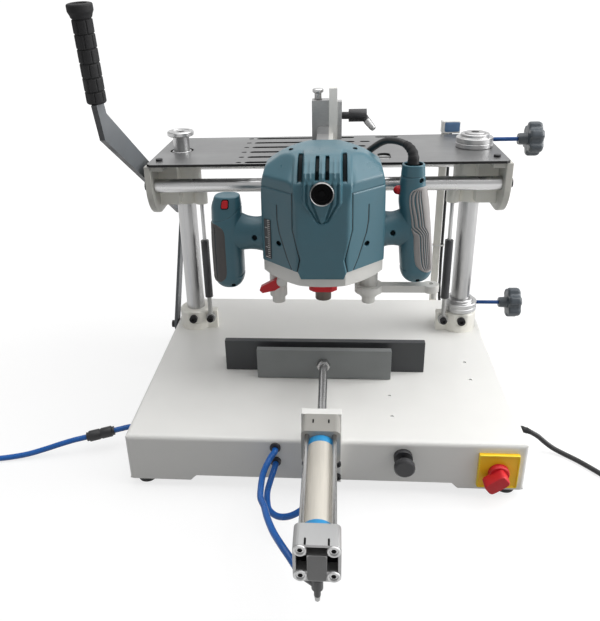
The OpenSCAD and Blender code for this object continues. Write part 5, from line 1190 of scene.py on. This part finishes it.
def small_trims():
    """Hub cap of the wing lever, valve tips, lever tip, cable tie, junction label and cylinder faces:
    a painted shadow on the tail cap's face, and painted shade in the caps' slits.
    """
    low, high = corners("wing_lever")
    spot = (high[0] - WING_HUB_IN, low[1] - WING_HUB_OUT, high[2] - WING_HUB_IN)
    hub = turned(WING_HUB, spot, Y, 48)
    piece("wing_hub", hub, "cast_aluminium", "wing_lever", "aluminium_cast")
    low, high = corners("flow_valves")
    tips = [turned(VALVE_TIP, (0, y, low[2] - VALVE_TIP_DOWN), Z, 32)
            for y in (low[1] + VALVE_TIP_IN, high[1] - VALVE_TIP_IN)]
    piece("valve_tips", joined(*tips), "nickel", "base", "turned_steel")
    low, high = corners("clamp_lever")
    end = np.array([high[0], low[1], low[2]]) + LEVER_END_IN
    tip = SLEEVED * np.linalg.norm(LEVER_ARM)
    sleeve = [(5.1, 0), (5.6, 0.6), (4.9, 10.5), (4.7, tip), (3.6, tip + 3.3), (0, tip + 4.7)]
    shape = turned(sleeve, end - SLEEVED * MM * LEVER_ARM, LEVER_ARM, 48)
    piece("lever_tip", shape, "nickel", "clamp_lever", "turned_steel")
    low, high = corners("junction_box")
    spot = ((low[0] + high[0]) / 2 + LABEL_RIGHT, low[1], (low[2] + high[2]) / 2 + LABEL_UP)
    piece("box_label", flat_patch(spot, LABEL_HALF, Z, -Y), "label_blue", "base", "plastic_blue")
    tie = carried(squared_ring(CABLE_TIE_HALF, CABLE_TIE, 6), CABLE_TIE_AT, X, Y, Z)
    piece("cable_tie", loft(tie, caps=False), "pale_plastic", "base", "plastic_light", 40)
    low, high = corners("tail_cap")
    spot = ((low[0] + high[0]) / 2, low[1], (low[2] + high[2]) / 2 - CAP_FACE_DOWN)
    piece("cap_face", flat_patch(spot, CAP_FACE_HALF, Z, -Y), "cap_shadow", "base", "aluminium_cast")
    slits = [flat_patch((x, low[1] + TAIL_SLIT_Y, high[2]), TAIL_SLIT, Y, Z)
             for x in (-TAIL_SLIT_X, TAIL_SLIT_X)]
    low, high = corners("rod_cap")
    slits += [flat_patch((x, low[1] + ROD_SLIT_Y, high[2]), ROD_SLIT, Y, Z)
              for x in (-ROD_SLIT_X, ROD_SLIT_X)]
    # Near-black patches over the slits paint the shade in them.
    piece("cap_slits", joined(*slits), "hole_dark", "base", "black_oxide")


class COPYROUTER_OT_grips(bpy.types.Operator):
    """Lever grip, knobs, switch and the small trims"""

    bl_idname = "copyrouter.grips"
    bl_label = "Add grips and knobs"

    def execute(self, context):
        lever_grip()
        star_knob("upper_star", "knob_top", "top_knob")
        star_knob("lower_star", "knob_stop", "stop_knob")
        cylinder_trim()
        rotary_switch()
        small_trims()
        return {"FINISHED"}


# Studio

CAMERA_PLACE = (0.015268, -0.910343, 0.609334)
CAMERA_YAW, CAMERA_PITCH, CAMERA_ROLL = 0.097, 0.431, 0.035
CAMERA_LENS, CAMERA_SHIFT = 39.825, (0.04045, -0.02679)
AMBIENT, MIRROR_GAIN = 0.29, 0.35
FLOOR_RUN = [(-9, 0), (-4, 0), (-2, 0), (0, 0), (2, 0), (4, 0), (6, 0), (7.5, 0.2), (8.6, 0.7), (9.3, 1.5),
             (9.7, 2.6), (9.9, 4), (10, 6), (10, 9)]
FLOOR_ACROSS = np.linspace(-9, 9, 25)
FLOOR_DROP = 0.0004
FLOOR_DULL = (0.30, 0.31)
FLOOR_GLOW, FLOOR_GLOW_AT = (0.76, 0.99), (0.5, 2.2)
# Name, place, target, width and power
LIGHTS = [
    ("overhead_light", (0.1, 0.2, 2.0), (0, 0, 0.2), 2.2, 27),
    ("key_light", (1.4, -0.1, 1.3), (0, 0, 0.3), 1.5, 22),
    ("side_light", (1.8, 0.1, 0.65), (0, 0, 0.3), 0.9, 13),
    ("fill_light", (-1.7, -1.2, 1.0), (0, 0, 0.25), 1.5, 1.0),
]


def camera():
    """Camera at the photograph's place: yaw and pitch give its line of sight, and roll turns it."""
    cy, sy = math.cos(CAMERA_YAW), math.sin(CAMERA_YAW)
    cp, sp = math.cos(CAMERA_PITCH), math.sin(CAMERA_PITCH)
    cr, sr = math.cos(CAMERA_ROLL), math.sin(CAMERA_ROLL)
    ahead = Vector((-cp * sy, cp * cy, -sp))
    right = Vector((cy, sy, 0))
    down = ahead.cross(right)
    data = bpy.data.cameras.new("studio_camera")
    data.sensor_fit = "HORIZONTAL"
    data.sensor_width = 36
    data.lens = CAMERA_LENS
    data.shift_x, data.shift_y = CAMERA_SHIFT
    data.clip_end = 60
    made = linked("studio_camera", data)
    turn = Matrix((right * cr + down * sr, right * sr - down * cr, -ahead)).transposed().to_4x4()
    made.matrix_world = Matrix.Translation(CAMERA_PLACE) @ turn
    bpy.context.scene.camera = made


def soft_light(name, place, target, width, power):
    """Square area lamp at a place, turned to its target."""
    data = bpy.data.lights.new(name, "AREA")
    data.shape = "SQUARE"
    data.size = width
    data.energy = power
    made = linked(name, data)
    made.location = place
    made.rotation_euler = (Vector(target) - Vector(place)).to_track_quat("-Z", "Y").to_euler()


def studio_floor():
    """Pale floor that rises behind: a low plane that bends up along a quarter circle far back.

    It glows for rays from the camera, mirrors and glass, and is dull for the light on the object.
    """
    run = np.array(FLOOR_RUN)[:, None] - (0, FLOOR_DROP)
    across = FLOOR_ACROSS[None, :, None] + 0 * run[..., :1]
    verts, faces = patch_of(np.concatenate([across, np.broadcast_to(run, (*across.shape[:2], 2))], -1))
    mesh = bpy.data.meshes.new("studio_floor")
    mesh.from_pydata(verts.tolist(), [], faces)
    mesh.shade_smooth()
    material = bpy.data.materials.new("studio_floor")
    s = Shader(material)
    pale = s.mix(s.noise(0.8), *(shade(colours().floor, factor) for factor in FLOOR_DULL))
    away = s.node("VectorMath", {0: s.place()}, "Value", operation="LENGTH")
    seen = s.math("MAXIMUM", s.math("MAXIMUM", s.ray("Camera"), s.ray("Glossy")), s.ray("Transmission"))
    strength = s.math("MULTIPLY", seen, s.ranged(away, *FLOOR_GLOW, *FLOOR_GLOW_AT))
    glow = s.node("Emission", {"Color": (1, 1, 1, 1), "Strength": strength})
    both = s.node("AddShader", {0: s.node("BsdfDiffuse", {"Color": pale}), 1: glow})
    s.node("OutputMaterial", {"Surface": both})
    mesh.materials.append(material)
    linked("studio_floor", mesh)


def studio_world():
    """White behind everything, and an even light on the object that is stronger in mirrors."""
    world = bpy.context.scene.world = bpy.data.worlds.new("studio_world")
    s = Shader(world)
    seen = s.math("MAXIMUM", s.ray("Camera"), s.ray("Transmission"))
    ambient = s.math("MULTIPLY_ADD", s.ray("Glossy"), MIRROR_GAIN, AMBIENT)
    strength = s.math("MAXIMUM", seen, ambient)
    light = s.node("Background", {"Color": (1, 1, 1, 1), "Strength": strength})
    s.node("OutputWorld", {"Surface": light})


class COPYROUTER_OT_stage(bpy.types.Operator):
    """Camera, soft studio light and a pale floor"""

    bl_idname = "copyrouter.stage"
    bl_label = "Set the stage"

    def execute(self, context):
        context.scene.view_settings.view_transform = "Standard"
        camera()
        studio_world()
        studio_floor()
        for light in LIGHTS:
            soft_light(*light)
        return {"FINISHED"}


CLASSES = (FinishColours, TrimSizes, COPYROUTER_OT_finishes, COPYROUTER_OT_leads, COPYROUTER_OT_router,
           COPYROUTER_OT_rods, COPYROUTER_OT_grips, COPYROUTER_OT_stage)
STEPS = ("finishes", "leads", "router", "rods", "grips", "stage")


class COPYROUTER_PT_panel(bpy.types.Panel):
    """Lists the steps that dress the copy router"""

    bl_label = "Copy Router"
    bl_idname = "COPYROUTER_PT_panel"
    bl_space_type = "VIEW_3D"
    bl_region_type = "UI"
    bl_category = "Copy Router"

    def draw(self, context):
        for step in STEPS:
            self.layout.operator("copyrouter." + step)


def register():
    for cls in (*CLASSES, COPYROUTER_PT_panel):
        bpy.utils.register_class(cls)
    bpy.types.Scene.copy_router_colours = bpy.props.PointerProperty(type=FinishColours)
    bpy.types.Scene.copy_router_sizes = bpy.props.PointerProperty(type=TrimSizes)


def unregister():
    del bpy.types.Scene.copy_router_sizes
    del bpy.types.Scene.copy_router_colours
    for cls in reversed((*CLASSES, COPYROUTER_PT_panel)):
        bpy.utils.unregister_class(cls)


def main():
    register()
    for step in STEPS:
        getattr(bpy.ops.copyrouter, step)()


if __name__ == "__main__":
    main()
